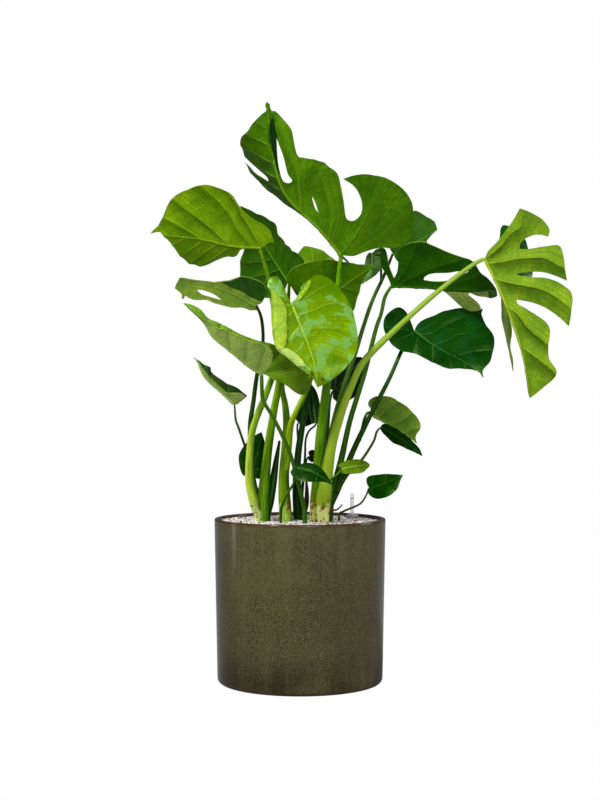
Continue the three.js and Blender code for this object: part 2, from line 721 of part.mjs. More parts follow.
function flatSheet(outline, holes) {
  const area = THREE.ShapeUtils.area(outline.map(([x, y]) => new THREE.Vector2(x, y)));
  const ring = area < 0 ? [...outline].reverse() : outline;
  const cutouts = holes.map((hole) => {
    const turn = THREE.ShapeUtils.area(hole.map(([x, y]) => new THREE.Vector2(x, y)));
    return turn > 0 ? [...hole].reverse() : hole;
  });
  const vectors = (list) => list.map(([x, y]) => new THREE.Vector2(x, y));
  const faces = THREE.ShapeUtils.triangulateShape(vectors(ring), cutouts.map(vectors));
  return { points: [ring, ...cutouts].flat().map((p) => [...p]), triangles: faces };
}

// Closes two matching faces into a solid, with walls round their open edges.
function solidFromFaces(top, bottom, triangles) {
  const count = top.length;
  const faces = [];
  const edges = new Map();
  for (const [a, b, c] of triangles) {
    faces.push([a, b, c], [a + count, c + count, b + count]);
    for (const [p, q] of [[a, b], [b, c], [c, a]]) {
      edges.set(`${p},${q}`, [p, q]);
    }
  }
  for (const [p, q] of edges.values()) {
    if (!edges.has(`${q},${p}`)) {
      faces.push([q, p, p + count], [q, p + count, q + count]);
    }
  }
  return outward({ points: [...top, ...bottom], triangles: faces });
}

// Turns a solid's triangles so that they face outwards.
function outward(solid) {
  let volume = 0;
  for (const [a, b, c] of solid.triangles) {
    volume += dot(solid.points[a], cross(solid.points[b], solid.points[c]));
  }
  if (volume < 0) {
    solid.triangles = solid.triangles.map(([a, b, c]) => [a, c, b]);
  }
  return solid;
}

// The same solid, thicker all round by about `distance`.
function swollen(solid, distance) {
  const normals = solid.points.map(() => [0, 0, 0]);
  for (const triangle of solid.triangles) {
    const [p, q, r] = triangle.map((i) => solid.points[i]);
    const n = cross(subtract(q, p), subtract(r, p));
    const facing = scale(n, 1 / Math.max(size(n), 1e-9));
    for (const i of triangle) {
      normals[i] = add(normals[i], facing);
    }
  }
  const points = solid.points.map((p, i) => {
    const length = size(normals[i]);
    return length > 1e-6 ? add(p, scale(normals[i], 1.4 * distance / length)) : p;
  });
  return { points, triangles: solid.triangles };
}

function bladeOutline(leaf, length) {
  const right = leaf.right;
  const left = leaf.left.map(([u, v]) => [u, -v]).reverse();
  return [[0, 0], ...right, [length, 0], ...left];
}

function blade(leaf) {
  const length = curveLength(leaf.midrib);
  const outline = bladeOutline(leaf, length);
  const sheet = flatSheet(outline, leaf.holes ?? []);
  const width = Math.max(...outline.map((p) => Math.abs(p[1])));
  const ribWidth = 0.8 + 0.012 * length;
  const acrossLines = width > 66 ? [ribWidth, 0.5 * width] : [ribWidth];
  evened(sheet);
  cutAlong(sheet, 1, 0);
  evened(sheet);
  for (const line of acrossLines) {
    cutAlong(sheet, 1, line);
    cutAlong(sheet, 1, -line);
  }
  const bands = clamp(Math.round(length / 46), 2, 5);
  for (let i = 0; i < bands; i += 1) {
    cutAlong(sheet, 0, length * (i + (i === 0 ? 0.04 : 0)) / bands);
  }
  evened(sheet);
  const middle = sheet.points.map(([u, v]) => bladePoint(leaf, length, u, v));
  const normals = middle.map(() => [0, 0, 0]);
  const faceNormals = sheet.triangles.map(([a, b, c]) => {
    const n = cross(subtract(middle[b], middle[a]), subtract(middle[c], middle[a]));
    for (const i of [a, b, c]) {
      normals[i] = add(normals[i], n);
    }
    return n;
  });
  const upper = dot(faceNormals.reduce(add), leaf.face) > 0 ? 1 : -1;
  const half = BLADE_THICKNESS / 2;
  const top = [];
  const bottom = [];
  middle.forEach((p, i) => {
    const [u, v] = sheet.points[i];
    const n = scale(unit(normals[i]), upper);
    const keel = Math.abs(v) < SNAP && u > -SNAP ? KEEL_DEPTH * (1 - clamp(u / length, 0, 1)) ** 0.7 : 0;
    top.push(add(p, scale(n, half)));
    bottom.push(add(p, scale(n, -half - keel)));
  });
  return solidFromFaces(top, bottom, sheet.triangles);
}

// A round tube through the points of a route.
function tube(route, sides) {
  const length = curveLength(route.map((p) => p.slice(0, 3)));
  const steps = Math.max(route.length + 1, Math.round(length / 44));
  const points = [];
  const triangles = [];
  let sideways = null;
  for (let i = 0; i <= steps; i += 1) {
    const s = i / steps;
    const [x, y, z, radius] = curve(route, s);
    const nearStart = Math.min(s, 1 - 1e-3);
    const ahead = unit(subtract(curve(route, nearStart + 1e-3), curve(route, nearStart)).slice(0, 3));
    const reference = sideways ?? (Math.abs(ahead[0]) < 0.8 ? [1, 0, 0] : [0, 1, 0]);
    sideways = unit(subtract(reference, scale(ahead, dot(reference, ahead))));
    const other = cross(ahead, sideways);
    for (let k = 0; k < sides; k += 1) {
      const angle = 2 * Math.PI * k / sides;
      const round = add(scale(sideways, radius * Math.cos(angle)), scale(other, radius * Math.sin(angle)));
      points.push(add([x, y, z], round));
    }
  }
  for (let i = 0; i < steps; i += 1) {
    for (let k = 0; k < sides; k += 1) {
      const a = i * sides + k;
      const b = i * sides + (k + 1) % sides;
      triangles.push([a, b, b + sides], [a, b + sides, a + sides]);
    }
  }
  for (let k = 1; k < sides - 1; k += 1) {
    const end = steps * sides;
    triangles.push([0, k + 1, k], [end, end + k, end + k + 1]);
  }
  return outward({ points, triangles });
}

// A solid turned about a vertical axis from [radius, height] pairs, listed from the
// axis to the axis.
function turned(profile, sides, [x, y] = [0, 0]) {
  const points = [];
  const rings = profile.map(([radius, z]) => {
    if (radius === 0) {
      points.push([x, y, z]);
      return [points.length - 1];
    }
    const ring = [];
    for (let k = 0; k < sides; k += 1) {
      const angle = 2 * Math.PI * k / sides;
      points.push([x + radius * Math.cos(angle), y + radius * Math.sin(angle), z]);
      ring.push(points.length - 1);
    }
    return ring;
  });
  const triangles = [];
  for (let i = 0; i < rings.length - 1; i += 1) {
    const [low, high] = [rings[i], rings[i + 1]];
    for (let k = 0; k < sides; k += 1) {
      const next = (k + 1) % sides;
      if (low.length > 1) {
        triangles.push([low[k], low[next], high.length > 1 ? high[next] : high[0]]);
      }
      if (high.length > 1) {
        triangles.push([low.length > 1 ? low[k] : low[0], high[next], high[k]]);
      }
    }
  }
  return outward({ points, triangles });
}

const cylinder = (radius, bottom, top, sides, at) => turned(
  [[0, bottom], [radius, bottom], [radius, top], [0, top]], sides, at);

function toManifold(solid) {
  const mesh = new wasm.Mesh({
    numProp: 3,
    vertProperties: new Float32Array(solid.points.flat()),
    triVerts: new Uint32Array(solid.triangles.flat()),
  });
  return new wasm.Manifold(mesh);
}

// The largest connected piece of a manifold, as points and triangles.
function largestPiece(manifold) {
  const mesh = manifold.getMesh();
  const points = [];
  for (let i = 0; i < mesh.vertProperties.length; i += mesh.numProp) {
    points.push([...mesh.vertProperties.slice(i, i + 3)]);
  }
  const parent = points.map((p, i) => i);
  const root = (i) => {
    let r = i;
    while (parent[r] !== r) {
      r = parent[r];
    }
    parent[i] = r;
    return r;
  };
  const triangles = [];
  for (let i = 0; i < mesh.triVerts.length; i += 3) {
    const [a, b, c] = mesh.triVerts.slice(i, i + 3);
    triangles.push([a, b, c]);
    parent[root(a)] = root(b);
    parent[root(b)] = root(c);
  }
  const volumes = new Map();
  for (const [a, b, c] of triangles) {
    const key = root(a);
    const part = dot(points[a], cross(points[b], points[c]));
    volumes.set(key, (volumes.get(key) ?? 0) + part);
  }
  const [best] = [...volumes.entries()].sort((p, q) => q[1] - p[1])[0];
  const kept = triangles.filter(([a]) => root(a) === best);
  return { points, triangles: kept };
}

function meshOf(name, solid, colour) {
  const used = new Map();
  const positions = [];
  const index = [];
  for (const triangle of solid.triangles) {
    for (const i of triangle) {
      if (!used.has(i)) {
        used.set(i, positions.length / 3);
        positions.push(...solid.points[i]);
      }
      index.push(used.get(i));
    }
  }
  const geometry = new THREE.BufferGeometry();
  geometry.setAttribute('position', new THREE.Float32BufferAttribute(positions, 3));
  geometry.setIndex(index);
  geometry.computeVertexNormals();
  const mesh = new THREE.Mesh(geometry, new THREE.MeshStandardMaterial({ color: colour }));
  mesh.name = name;
  return mesh;
}

const group = new THREE.Group();
group.name = 'potted_swiss_cheese_plant';

// Pot.
const potInner = (z) => {
  const taper = (POT_RIM_RADIUS - POT_FOOT_RADIUS) / POT_HEIGHT;
  return POT_FOOT_RADIUS + taper * z - POT_WALL;
};
const footArc = [0, 30, 60, 90].map((degrees) => [
  POT_FOOT_RADIUS - POT_FOOT_ROUND + POT_FOOT_ROUND * Math.sin(radians(degrees)),
  POT_FOOT_ROUND - POT_FOOT_ROUND * Math.cos(radians(degrees)),
]);
const rimArc = [0, 45, 90].map((degrees) => [
  POT_RIM_RADIUS - POT_RIM_ROUND + POT_RIM_ROUND * Math.cos(radians(degrees)),
  POT_HEIGHT - POT_RIM_ROUND + POT_RIM_ROUND * Math.sin(radians(degrees)),
]);
const innerRim = potInner(POT_HEIGHT) + POT_RIM_ROUND;
group.add(meshOf('pot', turned([
  [0, 0],
  ...footArc,
  ...rimArc,
  [innerRim, POT_HEIGHT],
  [innerRim - 0.9 * POT_RIM_ROUND, POT_HEIGHT - 0.8 * POT_RIM_ROUND],
  [potInner(POT_FLOOR + 6), POT_FLOOR + 6],
  [potInner(POT_FLOOR + 6) - 6, POT_FLOOR],
  [0, POT_FLOOR],
], POT_SIDES), COLOURS.glaze));

// Stems and petioles.
const routeEnd = (route) => {
  const [x, y, , radius] = route.at(-1);
  return [...route, [x, y, STUB_BOTTOM + 24, radius]];
};
const sidesFor = (route) => (Math.max(...route.map((p) => p[3])) > 6 ? 7 : 5);
const seats = new Map(Object.entries(LEAVES).map(([name, leaf]) => [
  name, toManifold(swollen(blade(leaf), SEAT_CLEARANCE))]));
const wells = [];
for (const [name, clump] of Object.entries(CLUMPS)) {
  let body = toManifold(cylinder(clump.radius, STUB_BOTTOM, GRAVEL_TOP, 16, clump.at));
  for (const key of clump.routes) {
    const route = ROUTES[key];
    const low = route.at(-1)[2] < GRAVEL_TOP + 20;
    const petiole = toManifold(tube(low ? routeEnd(route) : route, sidesFor(route)));
    body = body.add(seats.has(key) ? petiole.subtract(seats.get(key)) : petiole);
  }
  wells.push([clump.at, clump.radius + GAP]);
  group.add(meshOf(name, largestPiece(body), COLOURS.stem));
}
for (const [name, key] of Object.entries(LONE_PETIOLES)) {
  const route = ROUTES[key];
  const [x, y, , radius] = route.at(-1);
  const foot = toManifold(cylinder(radius + 0.4, STUB_BOTTOM, GRAVEL_TOP, 8, [x, y]));
  const body = toManifold(tube(routeEnd(route), 6)).add(foot).subtract(seats.get(key));
  wells.push([[x, y], radius + 0.4 + GAP]);
  group.add(meshOf(name, largestPiece(body), COLOURS.stem));
}

// Blades.
for (const [name, leaf] of Object.entries(LEAVES)) {
  group.add(meshOf(name, blade(leaf), COLOURS.leaf));
}

// Substrate and gravel, with plain holes for the stems and the gauge.
const substrate = turned([
  [0, POT_FLOOR + GAP],
  [potInner(POT_FLOOR + 6) - 6 - GAP, POT_FLOOR + GAP],
  [potInner(POT_FLOOR + 6) - 1.6 * GAP, POT_FLOOR + 6],
  [potInner(GRAVEL_BOTTOM) - GAP, GRAVEL_BOTTOM - GAP],
  [0, GRAVEL_BOTTOM - GAP],
], POT_SIDES);
const gravelRadius = potInner(GRAVEL_BOTTOM) - GAP;
// A repeatable rise or dip of the gravel at a place.
const relief = (x, y) => GRAVEL_RELIEF * Math.sin(12.9898 * x + 78.233 * y);
const gravelRings = Array.from({ length: GRAVEL_RINGS }, (_, k) => [
  gravelRadius * (1 - k / GRAVEL_RINGS), GRAVEL_TOP]);
const gravel = turned(
  [[0, GRAVEL_BOTTOM], [gravelRadius, GRAVEL_BOTTOM], ...gravelRings, [0, GRAVEL_TOP]], POT_SIDES);
gravel.points = gravel.points.map(([x, y, z]) => [x, y, z < GRAVEL_TOP ? z : z + relief(x, y)]);
const bored = (solid, holes, bottom) => {
  let body = toManifold(solid);
  for (const [at, radius] of holes) {
    body = body.subtract(toManifold(cylinder(radius, bottom, GRAVEL_TOP + 30, radius > 10 ? 16 : 8, at)));
  }
  return largestPiece(body);
};
group.add(meshOf('substrate', bored(substrate, wells, STUB_BOTTOM - GAP), COLOURS.soil));
const gaugeHole = [GAUGE_AT, GAUGE_TUBE_RADIUS + GAP];
group.add(meshOf('gravel', bored(gravel, [...wells, gaugeHole], GRAVEL_BOTTOM - 5), COLOURS.gravel));

// Water gauge.
const gaugeFoot = GRAVEL_BOTTOM;
const collarFoot = GRAVEL_TOP + GRAVEL_RELIEF + GAP;
group.add(meshOf('gauge_tube', turned([
  [0, GAUGE_TOP - 1],
  [GAUGE_BORE_RADIUS, GAUGE_TOP - 1],
  [GAUGE_BORE_RADIUS, gaugeFoot],
  [GAUGE_TUBE_RADIUS, gaugeFoot],
  [GAUGE_TUBE_RADIUS, GAUGE_TOP - 0.8],
  [GAUGE_TUBE_RADIUS - 0.8, GAUGE_TOP],
  [0, GAUGE_TOP],
], 20, GAUGE_AT), COLOURS.tube));
const collarBore = GAUGE_TUBE_RADIUS + GAP;
const collar = toManifold(turned([
  [0, collarFoot],
  [GAUGE_COLLAR_RADIUS - 1, collarFoot],
  [GAUGE_COLLAR_RADIUS, collarFoot + 1],
  [GAUGE_COLLAR_RADIUS, collarFoot + GAUGE_COLLAR_HEIGHT - 1.5],
  [GAUGE_COLLAR_RADIUS - 1.5, collarFoot + GAUGE_COLLAR_HEIGHT],
  [0, collarFoot + GAUGE_COLLAR_HEIGHT],
], 24, GAUGE_AT)).subtract(toManifold(cylinder(collarBore, collarFoot - 5, collarFoot + 20, 20, GAUGE_AT)));
group.add(meshOf('gauge_collar', largestPiece(collar), COLOURS.collar));
group.add(meshOf('gauge_float', cylinder(GAUGE_FLOAT_RADIUS, gaugeFoot, GAUGE_FLOAT_TOP, 14, GAUGE_AT), COLOURS.float));

export default group;
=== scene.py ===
"""Swiss cheese plant in a glazed cylinder pot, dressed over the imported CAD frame.

Numbers are millimetres in the CAD's frame (+Z up, +X to the right, -Y to the front)
and become metres when a mesh is made. Every blade is laid out flat as (along the
midrib, across it), then bent along its midrib, folded and curled.
"""
import bisect
import math
import random

import bpy
import numpy as np
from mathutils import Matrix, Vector
from mathutils.geometry import delaunay_2d_cdt


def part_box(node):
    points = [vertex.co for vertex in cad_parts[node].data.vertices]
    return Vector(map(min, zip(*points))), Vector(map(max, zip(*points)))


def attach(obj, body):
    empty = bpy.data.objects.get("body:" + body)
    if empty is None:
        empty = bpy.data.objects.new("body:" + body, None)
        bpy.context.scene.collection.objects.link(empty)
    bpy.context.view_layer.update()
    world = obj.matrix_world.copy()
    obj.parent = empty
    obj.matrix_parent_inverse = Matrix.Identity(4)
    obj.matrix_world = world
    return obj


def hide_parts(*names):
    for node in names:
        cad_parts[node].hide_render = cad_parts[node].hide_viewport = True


MM = 0.001
TO_CAMERA = np.array([0.0, -1.0, 0.0])
SMOOTH_ANGLE = 55
ROW_HEIGHT = 0.866

# Camera: level, in front of the plant, at half the height of the picture.
CAMERA_DISTANCE = 2610
CAMERA_HEIGHT = 493
LENS = 66.95

# Pot.
POT_HEIGHT = 286
POT_RIM_RADIUS = 150
POT_FOOT_RADIUS = 144.5
POT_WALL = 9
POT_FLOOR = 12
POT_FOOT_ROUND = 8
POT_RIM_ROUND = 3
POT_CORNER = 6
POT_SIDES = 180
POT_ROWS = 30
POT_INNER_ROW = 262

# What the pot holds: a slab of gravel with loose grains on it. A stem that ends less than
# STUB_REACH above the gravel goes on down to STUB_FOOT.
GRAVEL_TOP = 281
GRAVEL_BOTTOM = 269
GRAVEL_WALL_GAP = 0.6
SLAB_BELOW_TOP = 1.5
SLAB_INSET = 0.4
SLAB_SIDES = 90
GRAIN_SPACING = 3.7
GRAIN_SHIFT = 0.9
GRAIN_SIZE = 2.5
GRAIN_INSET = 2.4
GRAIN_SMOOTH_ANGLE = 20
STUB_REACH = 20
STUB_FOOT = 262

# The grains' shades in sRGB, pale and dark, each with the share of the grains up to and with it.
GRAIN_SHADES = [
    ((212, 208, 206), (172, 166, 164), 0.36),
    ((196, 176, 164), (148, 128, 116), 0.52),
    ((240, 238, 240), (206, 204, 208), 0.78),
    ((118, 98, 80), (76, 58, 46), 0.89),
    ((54, 42, 34), (30, 24, 18), 1),
]

# Water gauge.
GAUGE_AT = (94, 70)
GAUGE_TUBE_RADIUS = 3.6
GAUGE_TOP = 325
GAUGE_COLLAR_RADIUS = 10.5
GAUGE_COLLAR_FOOT = 282.6
GAUGE_COLLAR_HEIGHT = 5
GAUGE_COLLAR_ROUND = 1.2
GAUGE_COLLAR_CLEAR = 0.35
GAUGE_FLOAT_RADIUS = 2.2
GAUGE_FLOAT_TOP = 291
GAUGE_MARKS = (316, 299.4)
GAUGE_MARK_EDGE = (1.4, 0.6)

# Lights: what the surround and the floor give, suns (where from, strength, spread in
# degrees) and panels (place, width and height in metres, power).
SURROUND = 0.12
FLOOR_BOUNCE = 0.3
SUNS = [
    ("key", (-0.85, -0.8, 1.5), 3.3, 10),
    ("front", (0.25, -1, 0.35), 1.9, 24),
]
PANELS = [
    ("left_strip", (-1.5, 0.12, 0.5), 0.04, 0.9, 1.3),
    ("right_panel", (1.55, 0.25, 0.85), 0.45, 0.6, 12),
]

# Blades: the sheet and its midrib.
BLADE_THICKNESS = 1.2
KEEL_DEPTH = 3
GROOVE_DEPTH = 0.35
RIDGE_HEIGHT = 0.9
OUTLINE_STEP = 3.0
SAME_POINT = 0.3
SHARP_TURN = 75

# Blades: side veins. EDGE_GAP stands in for the space past the first and the last one.
VEIN_LEAN = 0.4
VEIN_SPACING = 34
VEIN_STEP = 3
PAST_EDGE = 70
EDGE_GAP = 44
NARROWEST_VEINED = 12

# Blades: rows of points beside the midrib and the side veins, and the even grid between them.
# A CLEAR is how far points keep off the midrib, a vein, the rim or a patch.
RIB_ROWS = (0, 1.1, -1.1, 2.4, -2.4, 4.4, -4.4)
RIB_ROW_STEP = 3.4
VEIN_ROWS = (0, 1.4, -1.4)
SHEET_STEP = 4.2
RIB_CLEAR = 6.6
VEIN_CLEAR = 3.2
VEIN_START = 6
ROW_RIM_CLEAR = 0.7
GRID_RIM_CLEAR = SHEET_STEP * 0.42
PATCH_CLEAR = 1

# Blades: how far the halves swell up between their side veins, how far the rim turns down
# and how deep the slow waves are.
PUCKER = 2.6
RIM_DROP = 0.7
WAVE = 0.8

# Petioles.
TUBE_STEP = 5
TUBE_SIDES = 18

# The blades. midrib runs from the petiole to the tip, face is where the upper side faces at
# the base (and face_tip at the tip), fold and curl are degrees at the midrib and degrees for
# each 100 mm outwards, listed from base to tip, and 0 where they aren't given. left and right
# are outlines as (along, out from the midrib). holes are (along, across), below 0 on the left.
LEAVES = {
    "leaf_top": {
        "midrib": [
            (71, -40, 743), (31, -62, 788), (-20, -83, 835), (-41, -98, 881), (-50, -112, 938),
            (-56, -120, 992),
        ],
        "face": (-0.1, 0.95, 0.3),
        "left_fold": [8, 4, 0, 0, 0],
        "left_curl": [-6, -4, 0, 0, 0],
        "right_fold": [88, 88, 84, 79, 71, 65, 50, 20, 4, 0, 0],
        "right_curl": [0, 0, 0, 0, 0, 0, 0, 4, 4, 4, 4],
        "left": [
            (-15, 16), (-23, 36), (-36, 62), (-49, 75), (-56, 89), (-56, 110), (-41, 129), (-15, 149),
            (2, 154), (24, 153), (48, 143), (62, 128), (73, 107), (80, 89), (66, 93), (54, 90),
            (42, 83), (32, 71), (31, 54), (40, 47), (54, 55), (77, 78), (91, 89), (114, 88), (166, 83),
            (176, 74), (194, 51), (198, 43), (216, 39), (232, 38), (249, 36), (267, 26), (282, 16),
            (286, 12), (286, 8), (293, 5), (299, 5),
        ],
        "right": [
            (-18, 18), (-36, 56), (-8, 104), (45, 128), (78, 112), (80, 60), (78, 30), (84, 28),
            (104, 60), (146, 94), (170, 102), (196, 104), (176, 76), (163, 50), (158, 38), (166, 36),
            (180, 46), (194, 56), (208, 64), (225, 56), (244, 51), (255, 37), (265, 29), (281, 12),
            (289, 2), (298, 3),
        ],
        "holes": [
            [
                (237, -10), (228, -12), (212, -16), (198, -18), (183, -18), (166, -18), (150, -21),
                (147, -16), (154, -8), (162, -6), (179, -6), (198, -7), (226, -9),
            ],
            [(97, -32), (91, -30), (83, -25), (75, -19), (81, -20), (90, -26)],
        ],
    },
    "leaf_upper_left": {
        "midrib": [(-69, -50, 756), (-116, -66, 757), (-170, -82, 767), (-253, -95, 774)],
        "face": (0, 0.8, 0.6),
        "face_tip": (0.1, 0.85, 0.5),
        "left_fold": [12, 6, 4],
        "left_curl": [-6, -6, -4],
        "right_fold": [10, 14, 8],
        "right_curl": [10, 10, 10],
        "left": [
            (-8, 1), (-17, 8), (-31, 10), (-17, 31), (23, 50), (61, 68), (83, 78), (99, 91), (107, 95),
            (119, 97), (132, 99), (141, 96), (151, 85), (161, 77), (169, 68), (177, 37), (180, 25),
            (183, 14), (188, 7),
        ],
        "right": [
            (2, 3), (14, 5), (43, 6), (48, 21), (65, 28), (79, 42), (96, 60), (114, 66), (133, 63),
            (153, 40), (165, 15), (175, 2), (179, -4), (184, -4),
        ],
    },
    "leaf_back_left": {
        "midrib": [(-20, 60, 705), (-42, 76, 739), (-69, 90, 783), (-108, 102, 847)],
        "face": (0.45, 0.65, 0.6),
        "left_fold": [6, 6],
        "right_fold": [-8, -8],
        "right_curl": [-10, -10],
        "left": [
            (-28, 22), (-39, 51), (-22, 62), (13, 59), (74, 45), (103, 42), (118, 47), (139, 34),
            (156, 16),
        ],
        "right": [
            (-4, 24), (16, 56), (46, 79), (85, 90), (103, 82), (118, 63), (124, 47), (132, 30),
            (150, 17), (163, 11),
        ],
    },
    "leaf_low_left": {
        "midrib": [
            (-77, -8, 659), (-110, -20, 677), (-147, -35, 690), (-181, -50, 695), (-212, -62, 692),
        ],
        "face": (0.05, 0.5, 0.86),
        "left_fold": [-14, -10, -6],
        "left_curl": [6, 6],
        "right_fold": [-14, -14, -10],
        "right_curl": [12, 12],
        "left": [
            (-2, 17), (11, 63), (25, 78), (40, 78), (55, 74), (65, 47), (75, 24), (98, 12), (122, 14),
            (150, 21),
        ],
        "right": [
            (-8, 7), (3, 16), (16, 20), (33, 32), (56, 38), (74, 37), (91, 42), (115, 39), (129, 31),
            (129, 40), (134, 39), (137, 28), (155, 8),
        ],
        "holes": [
            [(105, 18), (89, 15), (77, 17), (52, 24), (70, 28), (88, 27)],
        ],
    },
    "leaf_cupped": {
        "midrib": [
            (-64, -88, 537), (-86, -98, 550), (-114, -107, 573), (-146, -114, 599), (-162, -119, 624),
            (-195, -123, 655),
        ],
        "face": (0.55, -0.3, 0.83),
        "left_fold": [60, 60, 60, 50],
        "left_curl": [6, 6],
        "right_fold": [76, 74, 68, 50],
        "right_curl": [6, 6],
        "left": [
            (-1, 8), (2, 20), (9, 38), (24, 55), (41, 62), (53, 60), (62, 53), (80, 40), (102, 34),
            (131, 19), (146, 8), (161, 4),
        ],
        "right": [
            (-9, 2), (-26, 1), (-48, 4), (-68, 4), (-88, 2), (-108, 4), (-116, 13), (-112, 25),
            (-99, 36), (-74, 46), (-32, 54), (3, 54), (40, 49), (59, 41), (80, 33), (95, 30), (127, 23),
            (142, 12), (149, 10), (159, 12), (168, 10), (176, 6),
        ],
    },
    "leaf_small_left": {
        "midrib": [
            (-116, 0, 488), (-138, -12, 508), (-165, -20, 533), (-176, -24, 557), (-184, -26, 568),
        ],
        "face": (0.45, -0.6, 0.66),
        "left_fold": [90, 90, 90],
        "left": [
            (-5, 3), (-3, 14), (-2, 27), (6, 25), (14, 17), (20, 7), (31, 6), (45, 7), (61, 7), (78, 3),
        ],
        "right": [
            (-7, 7), (-13, 22), (-20, 43), (-5, 44), (20, 32), (44, 24), (63, 25), (76, 11), (94, 2),
        ],
    },
    "leaf_bright": {
        "midrib": [(-15, -100, 657), (0, -122, 618), (15, -138, 581), (26, -150, 543), (29, -152, 513)],
        "face": (0.02, -0.93, 0.35),
        "face_tip": (0.05, -1, 0.1),
        "left_fold": [-4, 0, 0],
        "left_curl": [-4, -4],
        "right_fold": [-4, 0, 0],
        "right_curl": [-2, -2],
        "left": [
            (-6, 12), (-24, 29), (-31, 46), (-35, 62), (-25, 79), (0, 90), (27, 95), (63, 90), (91, 82),
            (111, 69), (126, 50), (142, 28), (154, 14), (159, 4),
        ],
        "right": [
            (-12, 1), (-36, 2), (-50, 6), (-51, 18), (-40, 27), (-29, 25), (2, 36), (48, 50), (67, 51),
            (89, 39), (112, 25), (128, 13), (138, 7),
        ],
    },
    "leaf_centre": {
        "midrib": [(39, 25, 667), (71, 16, 691), (102, 9, 712), (131, 7, 730)],
        "face": (-0.15, 0.8, 0.55),
        "left_fold": [8, 8],
        "left_curl": [-6, -6],
        "right_fold": [8, 8],
        "right_curl": [-6, -6],
        "left": [(-6, 15), (-12, 43), (-5, 66), (14, 66), (39, 49), (62, 29), (83, 12)],
        "right": [
            (-3, 8), (-15, 25), (-21, 51), (-17, 79), (-3, 84), (14, 80), (30, 72), (45, 62), (61, 45),
            (77, 28), (90, 16),
        ],
    },
    "leaf_fenestrated_dark": {
        "midrib": [(162, 36, 696), (209, 24, 693), (256, 12, 690), (302, 2, 687), (344, -6, 686)],
        "face": (0, 0.72, 0.7),
        "left_fold": [48, 48, 48, 46, 38, 8, 4, 10, 28, 28, 28],
        "right_fold": [12, 8, 0],
        "right_curl": [-10, -6],
        "left": [
            (-2, 8), (-2, 30), (4, 58), (22, 76), (56, 76), (74, 52), (78, 30), (83, 12), (90, 10),
            (122, 46), (140, 64), (153, 56), (148, 36), (132, 12), (137, 9), (152, 24), (170, 36),
            (184, 34), (190, 16),
        ],
        "right": [
            (-5, 17), (-15, 40), (-12, 79), (-6, 75), (0, 35), (6, 16), (12, 29), (15, 50), (14, 69),
            (33, 88), (58, 96), (78, 87), (99, 76), (119, 69), (138, 64), (147, 55), (156, 40),
            (171, 25),
        ],
        "holes": [
            [
                (57, 15), (59, 21), (66, 27), (76, 30), (99, 32), (116, 37), (136, 39), (123, 30),
                (106, 20), (94, 15), (72, 13),
            ],
        ],
    },
    "leaf_right": {
        "midrib": [(317, -60, 735), (340, -78, 680), (362, -90, 620), (379, -96, 561), (389, -92, 496)],
        "face": (0.35, 0.9, 0.25),
        "face_tip": (0.4, 0.9, 0.1),
        "left_fold": [112, 108, 84, 57, 57, 57, 57, 57, 57, 57, 57],
        "right_fold": [10, 6, 4],
        "right_curl": [-4, -4],
        "left": [
            (2, 7), (-22, 43), (-44, 64), (-59, 74), (-65, 84), (-62, 98), (-52, 118), (-32, 124),
            (-13, 118), (14, 115), (34, 102), (45, 94), (55, 73), (51, 47), (53, 30), (67, 5), (76, 24),
            (98, 51), (133, 68), (156, 73), (180, 73), (212, 71), (178, 60), (156, 57), (139, 29),
            (127, 15), (84, 4), (110, 3), (190, 3), (244, 2),
        ],
        "right": [
            (-9, 10), (-19, 34), (-37, 68), (-51, 91), (-30, 107), (-11, 117), (11, 119), (21, 112),
            (13, 105), (5, 95), (2, 84), (2, 73), (7, 63), (14, 59), (23, 74), (34, 101), (44, 122),
            (61, 121), (95, 110), (80, 94), (68, 79), (60, 64), (50, 39), (54, 37), (68, 60), (78, 79),
            (89, 93), (100, 102), (114, 109), (137, 102), (160, 87), (145, 78), (131, 69), (118, 58),
            (105, 43), (90, 20), (95, 18), (111, 30), (141, 52), (155, 55), (195, 41), (219, 51),
            (241, 23), (252, 6),
        ],
    },
    "leaf_glossy_dark": {
        "midrib": [(201, 10, 615), (228, -4, 593), (260, -16, 573), (292, -26, 555), (318, -32, 531)],
        "face": (-0.1, -0.8, 0.6),
        "left_fold": [2, 2],
        "left_curl": [-4, -4],
        "right_fold": [2, 2],
        "right_curl": [-4, -4],
        "left": [
            (-4, 12), (-4, 25), (4, 48), (10, 70), (28, 93), (58, 100), (69, 109), (73, 120), (78, 110),
            (88, 101), (96, 94), (112, 80), (121, 66), (130, 47), (138, 30), (139, 16), (141, 8),
            (146, 4),
        ],
        "right": [
            (-13, -8), (-39, -20), (-53, -18), (-59, 0), (-54, 20), (-39, 36), (-18, 46), (0, 49),
            (15, 47), (31, 35), (45, 33), (64, 31), (84, 29), (110, 14), (127, 2), (135, -2), (143, -2),
        ],
    },
    "leaf_low_right": {
        "midrib": [(132, 40, 466), (152, 28, 453), (175, 18, 440), (192, 12, 430), (206, 8, 417)],
        "face": (0.2, 0.8, 0.55),
        "left_fold": [52, 50],
        "right_fold": [4, 4],
        "right_curl": [-4, -4],
        "left": [(3, 8), (6, 24), (16, 38), (38, 42), (62, 28), (82, 10)],
        "right": [
            (-8, 8), (-15, 13), (-16, 21), (-8, 35), (6, 46), (24, 54), (42, 52), (63, 45), (75, 35),
            (81, 26), (82, 14), (84, 7),
        ],
    },
    "leaf_low_right_dark": {
        "midrib": [(142, 5, 446), (164, -7, 433), (188, -18, 417), (213, -25, 396)],
        "face": (-0.15, -0.5, 0.85),
        "left": [(-2, 7), (2, 13), (19, 15), (44, 14), (69, 11), (81, 8)],
        "right": [(5, 6), (22, 13), (43, 17), (62, 12), (78, 6)],
    },
    "leaf_small_right": {
        "midrib": [(120, -12, 339), (137, -22, 344), (158, -30, 353), (178, -34, 363)],
